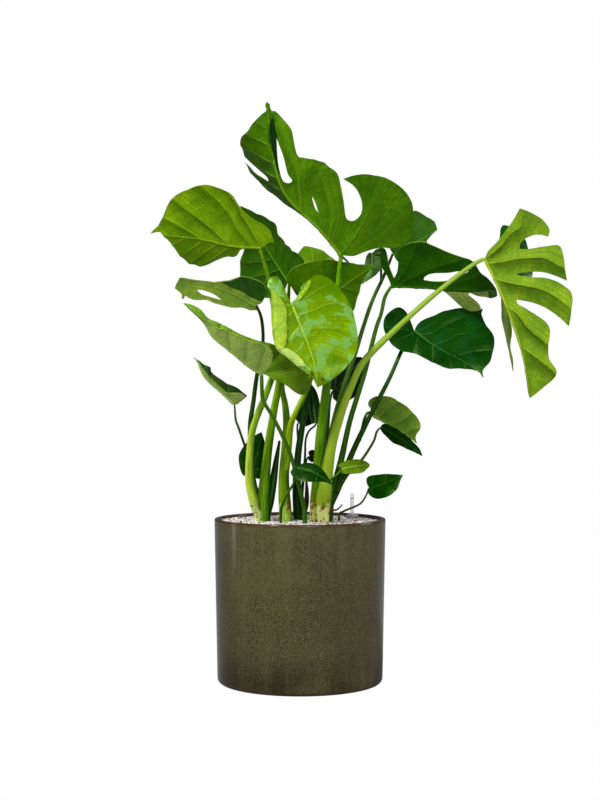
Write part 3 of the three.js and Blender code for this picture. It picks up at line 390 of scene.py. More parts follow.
        "face": (-0.2, -0.9, 0.5),
        "left_fold": [4, 4],
        "right_fold": [4, 4],
        "left": [(-4, 10), (-4, 20), (6, 23), (37, 17), (55, 8)],
        "right": [(-4, 5), (5, 16), (20, 25), (37, 26), (50, 19), (60, 7)],
    },
    "leaf_small_mid": {
        "midrib": [(72, -60, 375), (96, -68, 380), (119, -72, 382)],
        "face": (-0.1, -0.7, 0.7),
        "left": [(-8, 10), (3, 17), (17, 17), (32, 14), (42, 9)],
        "right": [(0, 8), (19, 16), (36, 15), (44, 8)],
    },
    "leaf_small_front": {
        "midrib": [(-3, -78, 376), (17, -88, 372), (37, -94, 363), (56, -96, 349)],
        "face": (0, -0.8, 0.6),
        "left": [(-6, 4), (6, 15), (25, 17), (41, 13), (55, 6)],
        "right": [(-9, 0), (-11, 8), (-5, 16), (8, 22), (25, 22), (42, 14), (57, 4)],
    },
    "leaf_small_back": {
        "midrib": [(-86, 45, 365), (-80, 42, 386), (-73, 36, 411), (-68, 30, 436)],
        "face": (0.2, -0.9, 0.4),
        "left": [(-13, 5), (-11, 14), (10, 26), (30, 30), (55, 21), (69, 9)],
        "right": [(-11, 12), (-8, 19), (10, 22), (42, 15), (62, 7)],
    },
    "leaf_shade": {
        "midrib": [(60, 94, 509), (78, 86, 527), (96, 80, 549), (113, 75, 569)],
        "face": (0.1, -0.6, 0.8),
        "left": [(-3, 12), (-3, 38), (19, 50), (54, 28), (72, 15)],
        "right": [(-6, 14), (6, 42), (25, 49), (46, 36), (68, 20)],
    },
    "leaf_drooping": {
        "midrib": [(129, 60, 757), (129, 56, 740), (122, 50, 720), (110, 44, 700)],
        "face": (-0.3, -0.9, 0.3),
        "left": [(-7, 7), (-11, 19), (8, 26), (26, 22), (44, 13)],
        "right": [(-2, 5), (7, 11), (36, 12), (52, 7)],
    },
    "leaf_back_right": {
        "midrib": [(168, 70, 756), (196, 88, 771), (223, 108, 789), (252, 124, 807)],
        "face": (-0.2, 0.62, 0.76),
        "left": [
            (13, 21), (51, 62), (82, 82), (109, 84), (134, 83), (148, 76), (124, 50), (99, 38),
            (87, 15), (103, 4),
        ],
        "right": [(-12, 18), (-15, 42), (-6, 76), (9, 93), (29, 92), (59, 67), (102, 26)],
    },
    "leaf_back_top": {
        "midrib": [(27, 60, 672), (25, 95, 700), (24, 135, 737), (21, 170, 779)],
        "face": (0, 0.5, 0.86),
        "left_fold": [-10, -10],
        "right_fold": [-10, -10],
        "left": [(-4, 16), (29, 33), (82, 43), (130, 29), (152, 15), (166, 6)],
        "right": [(3, 17), (46, 41), (96, 56), (142, 53), (152, 31), (160, 11)],
    },
    "leaf_hanging": {
        "midrib": [(29, 62, 453), (26, 64, 475), (23, 66, 500), (19, 64, 524)],
        "face": (0.5, -0.8, 0.2),
        "left": [(-3, 7), (13, 10), (38, 9), (58, 7)],
        "right": [(-4, 4), (11, 11), (37, 13), (56, 9)],
    },
    "leaf_low_back": {
        "midrib": [(16, 52, 393), (23, 49, 394), (32, 46, 393)],
        "face": (0, -0.8, 0.5),
        "left": [(-3, 9), (5, 12), (13, 9)],
        "right": [(-1, 7), (9, 14), (17, 10)],
    },
    "leaf_shade_low": {
        "midrib": [(-2, 88, 451), (14, 84, 468), (36, 78, 486)],
        "face": (0, -0.9, 0.4),
        "left": [(1, 9), (12, 23), (29, 24), (45, 15)],
        "right": [(1, 10), (19, 19), (41, 18), (50, 10)],
    },
}

# The petioles, the loose sheaths and the aerial root, from the top to the foot, as (x, y, z,
# radius).
ROUTES = {
    "leaf_top": [
        (71, -40, 743, 3.6), (66, -38, 695, 4.4), (57, -34, 614, 5.4), (47, -30, 522, 7.2),
        (36, -25, 423, 9), (33, -20, 354, 12), (31, -18, 296, 14),
    ],
    "leaf_right": [
        (315, -60, 735, 3.1), (291, -63, 721, 3.8), (239, -67, 681, 4.4), (171, -69, 621, 5),
        (111, -66, 561, 6), (89, -62, 519, 6.8), (69, -56, 467, 7.6), (53, -48, 407, 9),
        (43, -32, 337, 13), (38, -22, 296, 14),
    ],
    "leaf_fenestrated_dark": [
        (162, 37, 695, 2.6), (151, 36, 676, 3.2), (144, 33, 646, 3.4), (134, 28, 617, 3.7),
        (113, 18, 537, 4.2), (88, 6, 458, 4.8), (72, 0, 388, 5.4), (58, -4, 335, 6), (51, -8, 295, 7),
    ],
    "leaf_back_right": [
        (167, 70, 756, 2.4), (153, 88, 720, 3), (128, 80, 665, 3.5), (98, 56, 574, 4.2),
        (71, 36, 493, 5), (55, 18, 422, 6), (44, -8, 295, 8),
    ],
    "leaf_glossy_dark": [
        (200, 10, 613, 2.4), (191, 22, 596, 3), (179, 20, 578, 3.3), (156, 6, 528, 3.6),
        (121, 0, 461, 4.4), (94, 0, 405, 5), (67, -4, 339, 6), (47, -8, 295, 7),
    ],
    "leaf_low_right": [
        (131, 40, 466, 1.8), (122, 41, 471, 2.2), (115, 34, 461, 2.5), (110, 18, 442, 3),
        (104, 2, 423, 4),
    ],
    "leaf_low_right_dark": [
        (142, 5, 445, 1.6), (135, 8, 437, 2), (129, 10, 419, 2.2), (109, 12, 388, 2.4),
        (84, -6, 363, 2.6), (65, -16, 333, 3),
    ],
    "leaf_small_mid": [
        (71, -60, 374, 1.5), (65, -56, 366, 1.8), (52, -44, 355, 2.2),
    ],
    "leaf_drooping": [
        (130, 60, 756, 1.6), (139, 68, 750, 1.9), (146, 80, 732, 2.2), (147, 86, 703, 2.4),
    ],
    "aerial_root": [
        (73, -34, 312, 1.2), (64, -32, 303, 1.6), (50, -24, 297, 2.4),
    ],
    "leaf_shade": [
        (59, 94, 509, 2), (54, 90, 489, 2.6), (50, 62, 439, 3), (44, 20, 369, 4), (40, -4, 295, 5),
    ],
    "leaf_bright": [
        (-15, -101, 653, 3.4), (-19, -98, 637, 4), (-29, -76, 587, 4.8), (-50, -46, 527, 5.4),
        (-64, -44, 490, 5.6), (-72, -46, 471, 5.8), (-82, -38, 441, 6), (-87, -30, 406, 6.4),
        (-88, -22, 350, 7.2), (-79, -16, 310, 8.2), (-72, -12, 290, 8.8),
    ],
    "leaf_upper_left": [
        (-70, -50, 756, 2.8), (-62, -45, 731, 3.4), (-55, -37, 704, 4), (-45, -26, 649, 4.6),
        (-37, -20, 589, 5), (-37, -12, 524, 5.6), (-46, -6, 472, 6.4), (-56, -4, 405, 7.8),
        (-63, -4, 335, 9.8), (-65, -5, 290, 12),
    ],
    "leaf_low_left": [
        (-76, -8, 658, 2.2), (-68, -2, 637, 2.8), (-65, 4, 607, 3), (-67, 9, 581, 3.2),
        (-76, 14, 537, 3.6), (-82, 16, 493, 4), (-88, 14, 440, 4.6), (-83, 8, 354, 5.4),
        (-74, 3, 321, 6), (-67, 0, 289, 7),
    ],
    "leaf_small_left": [
        (-115, 0, 487, 1.6), (-113, 4, 459, 2), (-108, 6, 444, 2.1), (-96, 14, 407, 2.3),
        (-83, 20, 359, 2.6), (-67, 9, 289, 3.4),
    ],
    "leaf_small_back": [
        (-85, 45, 363, 1.6), (-81, 40, 340, 2), (-73, 28, 316, 2.4), (-63, 9, 289, 3),
    ],
    "leaf_back_left": [
        (-19, 60, 704, 2.8), (-22, 60, 655, 3.6), (-27, 48, 591, 4), (-32, 24, 521, 4.8),
        (-26, 18, 484, 5.6), (-23, 12, 447, 6.6), (-25, 6, 405, 8), (-28, 0, 349, 9.6),
        (-25, -6, 290, 11),
    ],
    "leaf_centre": [
        (38, 25, 666, 2.6), (34, 26, 617, 3.6), (28, 22, 573, 4.2), (19, 16, 532, 4.6),
        (8, 10, 502, 4.8), (-6, 2, 474, 5), (-16, 2, 449, 5.4), (-20, 2, 414, 6), (-25, 0, 370, 7),
    ],
    "sheath_left": [
        (-36, 12, 421, 2.2), (-42, 8, 384, 5), (-47, 2, 349, 7), (-53, -2, 314, 7.4), (-58, -4, 290, 7),
    ],
    "sheath_dry": [
        (11, 16, 354, 1.6), (12, 20, 330, 3.6), (11, 24, 309, 4.6), (6, 28, 287, 5),
    ],
    "leaf_cupped": [
        (-65, -88, 537, 2.6), (-65, -90, 525, 3.2), (-64, -86, 498, 3.4), (-59, -82, 485, 3.4),
        (-51, -78, 472, 3.4), (-39, -73, 450, 3.4), (-27, -70, 425, 3.4), (-15, -66, 395, 3.4),
        (-2, -58, 347, 3.6), (5, -54, 316, 4), (8, -52, 299, 4.4),
    ],
    "leaf_small_front": [
        (-3, -78, 376, 1.4), (-6, -76, 367, 1.8), (-9, -74, 355, 2), (-22, -66, 331, 2.1),
        (-30, -60, 315, 2.2), (-33, -55, 299, 2.6),
    ],
    "leaf_back_top": [
        (27, 60, 671, 2.6), (25, 58, 628, 3.2), (20, 50, 565, 4), (14, 42, 505, 4.6), (4, 34, 447, 5.4),
        (-4, 28, 392, 6.4), (-6, 26, 334, 7.6), (-4, 26, 293, 8.6),
    ],
    "leaf_hanging": [
        (29, 62, 453, 1.5), (27, 64, 447, 1.7), (16, 62, 437, 1.9), (10, 56, 420, 2), (9, 48, 391, 2.2),
        (5, 36, 342, 2.8), (0, 30, 292, 4),
    ],
    "leaf_low_back": [
        (15, 52, 392, 1.3), (12, 50, 386, 1.6), (7, 44, 368, 2),
    ],
    "leaf_shade_low": [
        (-3, 88, 451, 1.5), (-5, 84, 442, 1.8), (-2, 60, 394, 2.2), (-2, 34, 315, 3.4),
    ],
    "leaf_small_right": [
        (120, -12, 339, 1.4), (116, -10, 327, 1.7), (106, -8, 312, 1.8), (88, -4, 303, 1.9),
        (75, 0, 297, 2), (69, 3, 291, 2),
    ],
}

# What grows together in each piece, by its name in ROUTES.
CLUMPS = {
    "stem_left": [
        "leaf_bright", "leaf_upper_left", "leaf_low_left", "leaf_small_left", "leaf_small_back",
        "sheath_left",
    ],
    "stem_centre": [
        "leaf_back_left", "leaf_centre",
    ],
    "stem_back": [
        "leaf_back_top", "leaf_hanging", "leaf_low_back", "leaf_shade_low", "sheath_dry",
    ],
    "stem_right": [
        "leaf_top", "leaf_right", "leaf_fenestrated_dark", "leaf_back_right", "leaf_glossy_dark",
        "leaf_low_right", "leaf_low_right_dark", "leaf_small_mid", "leaf_drooping", "leaf_shade",
        "aerial_root",
    ],
    "petiole_cupped": ["leaf_cupped"],
    "petiole_front": ["leaf_small_front"],
    "petiole_right": ["leaf_small_right"],
}

# Side veins that show plainly, from the base to the tip, as (along, out from the midrib).
VEINS = {
    "leaf_top": {
        "left": [
            [(-5, 1), (-9, 33), (-14, 66), (-15, 91), (-13, 116)],
            [(3, 0), (6, 22), (15, 52), (26, 77), (40, 105)],
            [(34, 0), (44, 10), (57, 28), (66, 37), (78, 46)],
            [(96, 0), (111, 17), (141, 29), (168, 33), (186, 30)],
        ],
    },
    "leaf_right": {
        "right": [
            [(0, 4), (-6, 32), (-16, 58), (-18, 78), (-29, 88)],
            [(11, 2), (23, 27), (31, 50), (41, 72), (52, 92), (68, 106)],
            [(41, 0), (59, 18), (76, 42), (92, 65), (110, 82), (127, 94)],
            [(95, 1), (113, 13), (139, 21), (156, 30), (174, 42)],
            [(170, 3), (188, 18), (206, 36), (217, 48)],
        ],
    },
    "leaf_upper_left": {
        "left": [
            [(4, 6), (18, 22), (38, 42), (58, 57)],
            [(24, 5), (73, 41), (108, 68), (125, 84)],
            [(77, 3), (111, 21), (133, 36), (153, 52), (162, 61)],
            [(125, 0), (143, 11), (158, 21), (170, 28)],
        ],
    },
    "leaf_fenestrated_dark": {
        "right": [
            [(6, 4), (23, 28), (37, 54), (45, 76)],
            [(12, 2), (35, 18), (57, 32), (78, 43), (99, 52)],
            [(76, 1), (105, 9), (122, 17)],
        ],
    },
    "leaf_glossy_dark": {
        "left": [
            [(5, 4), (10, 18), (13, 41), (14, 71)],
            [(14, 2), (26, 17), (31, 39), (47, 69), (65, 95)],
            [(44, 1), (55, 16), (64, 38), (78, 58)],
            [(84, 1), (95, 12), (108, 28)],
        ],
    },
    "leaf_bright": {
        "left": [
            [(4, 3), (-3, 26), (-11, 52), (-15, 69)],
            [(23, 3), (21, 29), (17, 56), (20, 79)],
            [(49, 2), (54, 26), (63, 51), (74, 68)],
            [(85, 1), (91, 21), (103, 38)],
        ],
    },
}

# How far the right and left half of a blade swell up between their side veins, in mm,
# where it isn't PUCKER.
PUCKERS = {
    "leaf_right": (9, 1),
    "leaf_upper_left": (6, 6),
    "leaf_top": (5, 5),
    "leaf_centre": (5, 5),
    "leaf_back_left": (5, 5),
    "leaf_small_right": (1, 1),
    "leaf_small_mid": (1, 1),
    "leaf_small_front": (1, 1),
    "leaf_low_back": (0.6, 0.6),
    "leaf_hanging": (1, 1),
}

# Parts of a blade with another look, where it rolls over, folds, is paler or has a brown spot, and
# patches of painted shade and painted light: how far they stand out on the side towards the front,
# in mm, their colour in sRGB and their outline as (along, across).
PATCHES = {
    "leaf_bright": [
        (4, (152, 180, 44), [
            (-31, 25), (-16, 16), (1, 12), (14, 13), (34, 21), (55, 30), (69, 39), (68, 60),
            (48, 64), (1, 48), (-31, 40),
        ]),
        # The rolled rim shows the underside, painted paler still as a highlight.
        (3, (172, 198, 96), [
            (64, 58), (64, 51), (70, 39), (85, 26), (103, 17), (112, 15), (104, 34), (84, 50),
        ]),
        (3, (126, 168, 26), [(-3, -10), (-15, -27), (-29, -45), (-22, -43), (-10, -29), (-1, -14)]),
        (0.3, (84, 50, 18), [(123, 9), (122, 6), (128, 4), (134, 5), (133, 8)]),
        (0.3, (112, 74, 20), [(140, -7), (137, -10), (142, -13), (148, -11), (146, -8)]),
    ],
    "leaf_top": [
        # Painted shade: the dark strip between the midrib and the hole, where the folded half lies in
        # shadow.
        (-2, (10, 48, 8), [
            (274, -7), (262, -1), (248, 2), (232, 3), (216, 1), (201, -1), (186, -3), (172, -4),
            (184, -8), (201, -10), (225, -10), (236, -12), (252, -10), (267, -10),
        ]),
    ],
    "leaf_low_left": [
        # Painted shade on the far half, which folds down away from the light.
        (-1.5, (52, 116, 6), [
            (72, -17), (63, -40), (54, -73), (40, -80), (25, -82), (8, -64), (-2, -38), (4, -18),
            (27, -14), (47, -14), (60, -14),
        ]),
    ],
    "leaf_fenestrated_dark": [
        (0.5, (176, 206, 88), [(78, -7), (170, -7), (170, -80), (78, -80)]),
    ],
    "leaf_right": [
        # Painted light: the half folded back is made paler, as it shows lit.
        (0.5, (142, 174, 76), [
            (62, -6), (90, -3), (150, -40), (230, -60), (230, -90), (120, -90), (70, -30),
        ]),
    ],
}

# Blades with painted glare, pale patches standing in for the lamps' shine on their glossy surface,
# and a darker base: the glare's colour in sRGB and its share.
PAINTED_GLARE = {
    "leaf_bright": ((104, 162, 84), 0.62),
    "leaf_glossy_dark": ((16, 76, 40), 0.2),
}

# Colours in sRGB, 0 to 255: the upper side, its veins, the underside and its veins.
LOOKS = {
    "leaf_top": ((28, 78, 6), (90, 130, 40), (77, 127, 6), (113, 155, 18)),
    "leaf_upper_left": ((40, 92, 10), (110, 145, 50), (124, 169, 11), (165, 200, 33)),
    "leaf_back_left": ((24, 66, 6), (70, 110, 30), (49, 99, 2), (91, 137, 15)),
    "leaf_low_left": ((32, 76, 8), (90, 125, 40), (179, 220, 75), (179, 222, 86)),
    "leaf_cupped": ((113, 158, 27), (112, 146, 46), (162, 195, 87), (167, 199, 100)),
    "leaf_small_left": ((50, 86, 22), (116, 145, 63), (151, 177, 84), (174, 203, 107)),
    "leaf_bright": ((104, 142, 0), (144, 170, 34), (138, 176, 30), (176, 202, 90)),
    "leaf_centre": ((40, 90, 10), (100, 140, 50), (81, 132, 2), (120, 161, 24)),
    "leaf_fenestrated_dark": ((96, 138, 22), (130, 165, 60), (46, 107, 6), (60, 116, 14)),
    "leaf_right": ((20, 75, 3), (75, 146, 30), (109, 143, 24), (146, 170, 40)),
    "leaf_glossy_dark": ((11, 61, 4), (34, 88, 26), (70, 112, 30), (120, 150, 70)),
    "leaf_low_right": ((30, 74, 8), (90, 130, 50), (118, 157, 47), (137, 172, 71)),
    "leaf_low_right_dark": ((4, 44, 2), (22, 70, 12), (60, 100, 20), (100, 130, 50)),
    "leaf_small_right": ((19, 85, 1), (44, 104, 14), (70, 110, 20), (110, 140, 50)),
    "leaf_small_mid": ((91, 123, 7), (124, 152, 36), (100, 135, 40), (130, 160, 60)),
    "leaf_small_front": ((3, 45, 2), (26, 80, 10), (70, 110, 20), (110, 140, 50)),
    "leaf_small_back": ((13, 71, 2), (30, 96, 12), (60, 100, 20), (100, 130, 50)),
    # leaf_shade's upper side is near black: painted shade for the shadow it lies in.
    "leaf_shade": ((3, 10, 2), (34, 58, 15), (40, 80, 12), (80, 110, 40)),
    "leaf_drooping": ((13, 51, 14), (85, 120, 69), (40, 84, 20), (90, 124, 60)),
    "leaf_back_right": ((30, 80, 8), (80, 120, 40), (54, 114, 2), (96, 148, 22)),
    "leaf_back_top": ((116, 160, 12), (140, 178, 40), (104, 144, 14), (140, 172, 60)),
    "leaf_hanging": ((5, 56, 2), (36, 107, 15), (40, 80, 12), (80, 110, 40)),
    "leaf_low_back": ((14, 50, 4), (60, 96, 30), (40, 80, 12), (80, 110, 40)),
    "leaf_shade_low": ((12, 44, 4), (60, 96, 30), (40, 80, 12), (80, 110, 40)),
}

# Roughness of the upper side and of the underside, where it isn't PLAIN_ROUGHNESS.
PLAIN_ROUGHNESS = (0.36, 0.5)
ROUGHNESS = {
    "leaf_top": (0.34, 0.5),
    "leaf_bright": (0.26, 0.45),
    "leaf_fenestrated_dark": (0.36, 0.42),
    "leaf_glossy_dark": (0.24, 0.5),
    "leaf_low_right_dark": (0.3, 0.5),
    "leaf_small_right": (0.3, 0.5),
    "leaf_small_mid": (0.34, 0.5),
    "leaf_small_front": (0.3, 0.5),
    "leaf_small_back": (0.32, 0.5),
}

# Colours of the petioles in sRGB, at the blade and at the foot, where they aren't PLAIN_STEM.
PLAIN_STEM = ((40, 78, 12), (30, 62, 8))
STEMS = {
    "leaf_top": ((92, 150, 3), (80, 115, 4)),
    "leaf_right": ((120, 154, 40), (118, 150, 26)),
    "leaf_fenestrated_dark": ((66, 116, 10), (30, 76, 4)),
    "leaf_back_right": ((56, 92, 12), (34, 70, 8)),
    "leaf_glossy_dark": ((28, 76, 5), (16, 56, 2)),
    "leaf_low_right": ((60, 100, 16), (44, 82, 12)),
    "leaf_low_right_dark": ((56, 96, 16), (40, 78, 12)),
    "leaf_small_mid": ((80, 116, 24), (56, 92, 14)),
    "leaf_drooping": ((70, 110, 24), (60, 100, 20)),
    "aerial_root": ((96, 66, 38), (84, 58, 32)),
    "leaf_shade": ((40, 80, 12), (30, 64, 8)),
    "leaf_bright": ((113, 160, 16), (187, 209, 66)),
    "leaf_upper_left": ((138, 182, 12), (82, 128, 6)),
    "leaf_low_left": ((50, 88, 8), (30, 66, 6)),
    "sheath_left": ((12, 52, 2), (10, 46, 2)),
    "sheath_dry": ((74, 44, 22), (52, 30, 18)),
    "leaf_small_left": ((50, 88, 12), (34, 70, 8)),
    "leaf_small_back": ((40, 78, 12), (34, 70, 8)),
    "leaf_back_left": ((61, 102, 2), (101, 138, 7)),
    "leaf_centre": ((146, 182, 16), (138, 172, 14)),
    "leaf_cupped": ((76, 116, 20), (50, 88, 12)),
    "leaf_small_front": ((60, 100, 16), (40, 78, 10)),
    "leaf_back_top": ((12, 60, 2), (7, 47, 2)),
    "leaf_small_right": ((54, 92, 12), (40, 78, 10)),
}

# Colours of the pale sheaths round some feet in sRGB, and how high they reach, in metres.
SHEATHS = {
    "leaf_right": (196, 206, 112),
    "leaf_top": (176, 190, 90),
    "leaf_bright": (196, 210, 128),
    "leaf_back_left": (150, 178, 66),
}
SHEATH_TOP = 0.326


def linear(rgb):
    """An sRGB colour of 0 to 255 as linear red, green, blue and alpha."""
    out = []
    for channel in rgb:
        c = channel / 255
        out.append(c / 12.92 if c <= 0.04045 else ((c + 0.055) / 1.055) ** 2.4)
    return (*out, 1)


def shaded(colour, factors):
    """A linear colour made darker or lighter, channel by channel."""
    return tuple(min(c * k, 1) for c, k in zip(colour, factors)) + (1,)


def blended(a, b, share):
    return tuple(p * (1 - share) + q * share for p, q in zip(a, b))


def curve(points, s):
    """A smooth curve through the points; s runs from 0 to 1 and goes on straight below 0."""
    p = np.array(points, float)
    last = len(p) - 1
    p = np.vstack([2 * p[0] - p[1], p, 2 * p[-1] - p[-2]])
    s = np.atleast_1d(np.asarray(s, float))
    t = np.clip(s, 0, 1) * last
    k = np.minimum(t.astype(int), last - 1)
    f = (t - k)[:, None]
    a, b, c, d = p[k], p[k + 1], p[k + 2], p[k + 3]
    on = 0.5 * (2 * b + (c - a) * f + (2 * a - 5 * b + 4 * c - d) * f**2 + (3 * b - a - 3 * c + d) * f**3)
    start = 0.5 * (p[2] - p[0]) * last
    return on + start * np.minimum(s, 0)[:, None]


def curve_length(points, steps=40):
    on = curve(np.array(points, float)[:, :3], np.linspace(0, 1, steps + 1))
    return float(np.linalg.norm(np.diff(on, axis=0), axis=1).sum())


def unit(vectors):
    size = np.linalg.norm(vectors, axis=-1, keepdims=True)
    return vectors / np.maximum(size, 1e-12)


def ahead_on(points, s, step=1e-3):
    """The direction of a curve at each share s."""
    start = np.minimum(s, 1 - step)
    return unit((curve(points, start + step) - curve(points, start))[:, :3])


def along(values, s):
    """Values of an evenly spaced list at each share s."""
    return np.interp(s, np.linspace(0, 1, len(values)), values)


def dot(a, b):
    return (a * b).sum(axis=-1, keepdims=True)


def plain_veins(length, reach, count):
    """Side veins of a plain half blade, from its base to its tip, as [along, out] points:
    two fan out round the petiole and the rest leave the midrib."""
    out = np.linspace(0, reach, 12)
    veins = [
        np.stack([2 - 1.5 * out, out], axis=1),
        np.stack([4 - 0.3 * out, out], axis=1),
    ]
    for i in range(count):
        share = i / count
        start = length * (0.08 + 0.84 * share)
        lean = 0.42 + 0.3 * share
        veins.append(np.stack([start + lean * out + 0.0016 * out**2, out], axis=1))
    return veins


def signed_distance(path, points):
    """How far each point is from a path, positive on the tip's side, and where along it."""
    best = np.full(len(points), 1e9)
    side = np.zeros(len(points))
    place = np.zeros(len(points))
    walked = 0.0
    for a, b in zip(path, path[1:]):
        d = b - a
        size = float(np.linalg.norm(d))
        t = np.clip(((points - a) @ d) / max(size**2, 1e-9), 0, 1)
        far = np.linalg.norm(points - a - t[:, None] * d, axis=1)
        cross = d[1] * (points[:, 0] - a[0]) - d[0] * (points[:, 1] - a[1])
        near = far < best
        best[near] = far[near]
        side[near] = np.where(cross[near] >= 0, 1, -1)
        place[near] = walked + t[near] * size
        walked += size
    return best * side, place


def side_veins(name, length, loops):
    """The side veins of both halves, as (half, path, path inside the blade, its length). A path
    goes on past the edge, so that every point has a vein on each side."""
    veins = []
    for sign, half in ((1, "right"), (-1, "left")):
        widest = float((loops[0][:, 1] * sign).max())
        traced = VEINS.get(name, {}).get(half)
        if traced:
            paths = [curve(points, np.linspace(0, 1, 14)) for points in traced]
        elif widest > NARROWEST_VEINED:
            paths = plain_veins(length, widest, max(2, round(length / VEIN_SPACING)))
        else:
            continue
        for path in paths:
            onward = unit(path[-1] - path[-2])
            path = np.vstack([path, path[-1] + onward * PAST_EDGE])
            fine = []
            for a, b in zip(path, path[1:]):
                steps = max(1, round(float(np.linalg.norm(b - a)) / VEIN_STEP))
                fine += [a + (b - a) * k / steps for k in range(steps)]
            fine = np.array(fine)
            flat = np.stack([fine[:, 0], fine[:, 1] * sign], axis=1)
            held = inside(loops, flat) | (fine[:, 1] < 4)
            end = int(np.argmin(held)) if not held.all() else len(fine)
            walked = np.linalg.norm(np.diff(fine[: max(end, 2)], axis=0), axis=1).sum()
            veins.append((sign, path, fine[:end], float(walked)))
    return veins


def vein_field(veins, u, v):
    """For every flat point: how far the nearest side vein is, how strong it is there, how far
    the point lies from one vein to the next, and how far apart they are, in mm."""
    n = len(u)
    nearest, strength = np.full(n, 60.0), np.zeros(n)
    phase, apart = np.zeros(n), np.full(n, 40.0)
    for sign in (1, -1):
        chosen = np.flatnonzero(v >= 0) if sign > 0 else np.flatnonzero(v < 0)
        paths = [vein for vein in veins if vein[0] == sign]
        if not paths or not len(chosen):
            continue
        points = np.stack([u[chosen], np.abs(v[chosen])], axis=1)
        fields = [signed_distance(path, points) for _, path, _, _ in paths]
        signed = np.array([field[0] for field in fields])
        power = np.array([
            np.clip(1 - field[1] / max(reach, 1), 0, 1) ** 0.6
            for field, (_, _, _, reach) in zip(fields, paths)
        ])
        columns = np.arange(len(chosen))
        closest = np.abs(signed).argmin(axis=0)
        nearest[chosen] = np.abs(signed[closest, columns])
        strength[chosen] = power[closest, columns]
        passed = (signed > 0).sum(axis=0)
        before = np.abs(signed[np.clip(passed - 1, 0, len(paths) - 1), columns])
        after = np.abs(signed[np.clip(passed, 0, len(paths) - 1), columns])
        gap = before + after
        share = before / np.maximum(gap, 1e-6)
        first, last = passed == 0, passed == len(paths)
        share = np.where(first, 1 - np.minimum(after / EDGE_GAP, 0.5), share)
        share = np.where(last, np.minimum(before / EDGE_GAP, 0.5), share)
        phase[chosen] = passed + share
        apart[chosen] = np.where(first | last, EDGE_GAP, gap)
    return nearest, strength, phase, apart


def blade_point(leaf, length, u, v):
    """Where the flat points (u, v) of a blade lie in space."""
    s = np.clip(u / length, 0, 1)
    ahead = ahead_on(leaf["midrib"], s)
    face = np.array(leaf["face"], float)
    tip_face = np.array(leaf.get("face_tip", leaf["face"]), float)
    facing = face * (1 - s)[:, None] + tip_face * s[:, None]
    up = unit(facing - ahead * dot(facing, ahead))
    right = np.cross(ahead, up)
    w = np.abs(v)
    vein = np.clip((u - VEIN_LEAN * w) / length, 0, 1)
    on_right = v >= 0
    bends = {}
    for what in ("fold", "curl"):
        on_each = [along(leaf.get(f"{half}_{what}", [0]), vein) for half in ("right", "left")]
        bends[what] = np.radians(np.where(on_right, *on_each))
    fold = bends["fold"]
    curl = bends["curl"] / 100
    flat = np.abs(curl) <= 1e-7
    bend = np.where(flat, 1, curl)
    across = np.where(flat, w * np.cos(fold), (np.sin(fold + bend * w) - np.sin(fold)) / bend)
    rise = np.where(flat, w * np.sin(fold), (np.cos(fold) - np.cos(fold + bend * w)) / bend)
    base = curve(leaf["midrib"], u / length)
    return base + right * np.where(on_right, across, -across)[:, None] + up * rise[:, None]


def passing(p, q, t, start, end):
    """The point at t on the straight way from p, at start, to q, at end."""
    return p * (end - t) / (end - start) + q * (t - start) / (end - start)


def smooth_loop(points):
    """A closed outline with rounded corners, as points about OUTLINE_STEP apart. Turns
    sharper than SHARP_TURN stay sharp."""
    p = [np.array(q, float) for q in points]
    p = [q for i, q in enumerate(p) if np.linalg.norm(q - p[i - 1]) > SAME_POINT]
    count = len(p)
    sharp = []
    for i in range(count):
        a = unit(p[i] - p[i - 1])
        b = unit(p[(i + 1) % count] - p[i])
        turn = math.degrees(math.acos(max(-1, min(1, float(a @ b)))))
        sharp.append(turn > SHARP_TURN)
    out = []
    for i in range(count):
        b, c = p[i], p[(i + 1) % count]
        a = 2 * b - c if sharp[i] else p[i - 1]
        d = 2 * c - b if sharp[(i + 1) % count] else p[(i + 2) % count]
        t0 = 0.0
        t1 = t0 + max(np.linalg.norm(b - a), 1e-3) ** 0.5
        t2 = t1 + max(np.linalg.norm(c - b), 1e-3) ** 0.5
        t3 = t2 + max(np.linalg.norm(d - c), 1e-3) ** 0.5
        steps = max(1, round(np.linalg.norm(c - b) / OUTLINE_STEP))
        for k in range(steps):
            t = t1 + (t2 - t1) * k / steps
            ab = passing(a, b, t, t0, t1)
            bc = passing(b, c, t, t1, t2)
            cd = passing(c, d, t, t2, t3)
            abc = passing(ab, bc, t, t0, t2)
            bcd = passing(bc, cd, t, t1, t3)
            out.append(passing(abc, bcd, t, t1, t2))
    return np.array(out)


def inside(loops, points):
    """Which points are inside an odd number of the loops."""
    odd = np.zeros(len(points), bool)
    x, y = points[:, 0], points[:, 1]
    for loop in loops:
        for (ax, ay), (bx, by) in zip(loop, np.roll(loop, -1, axis=0)):
            if ay == by:
                continue
            crosses = (ay > y) != (by > y)
            odd ^= crosses & (x < (bx - ax) * (y - ay) / (by - ay) + ax)
    return odd


def distance_to(loops, points):
    """How far each point is from the nearest edge of the loops."""
    best = np.full(len(points), 1e9)
    for loop in loops:
        for p, q in zip(loop, np.roll(loop, -1, axis=0)):
            d = q - p
            t = np.clip(((points - p) @ d) / max(d @ d, 1e-9), 0, 1)
            best = np.minimum(best, np.linalg.norm(points - p - t[:, None] * d, axis=1))
    return best


def even_grid(low, high):
    """Rows of points in even triangles, from the low to the high corner."""
    grid = []
    y = low[1]
    while y < high[1]:
        shift = (len(grid) % 2) * SHEET_STEP / 2
        xs = np.arange(low[0] + shift, high[0], SHEET_STEP)
        grid.append(np.stack([xs, np.full_like(xs, y)], axis=1))
        y += SHEET_STEP * ROW_HEIGHT
    return np.vstack(grid)


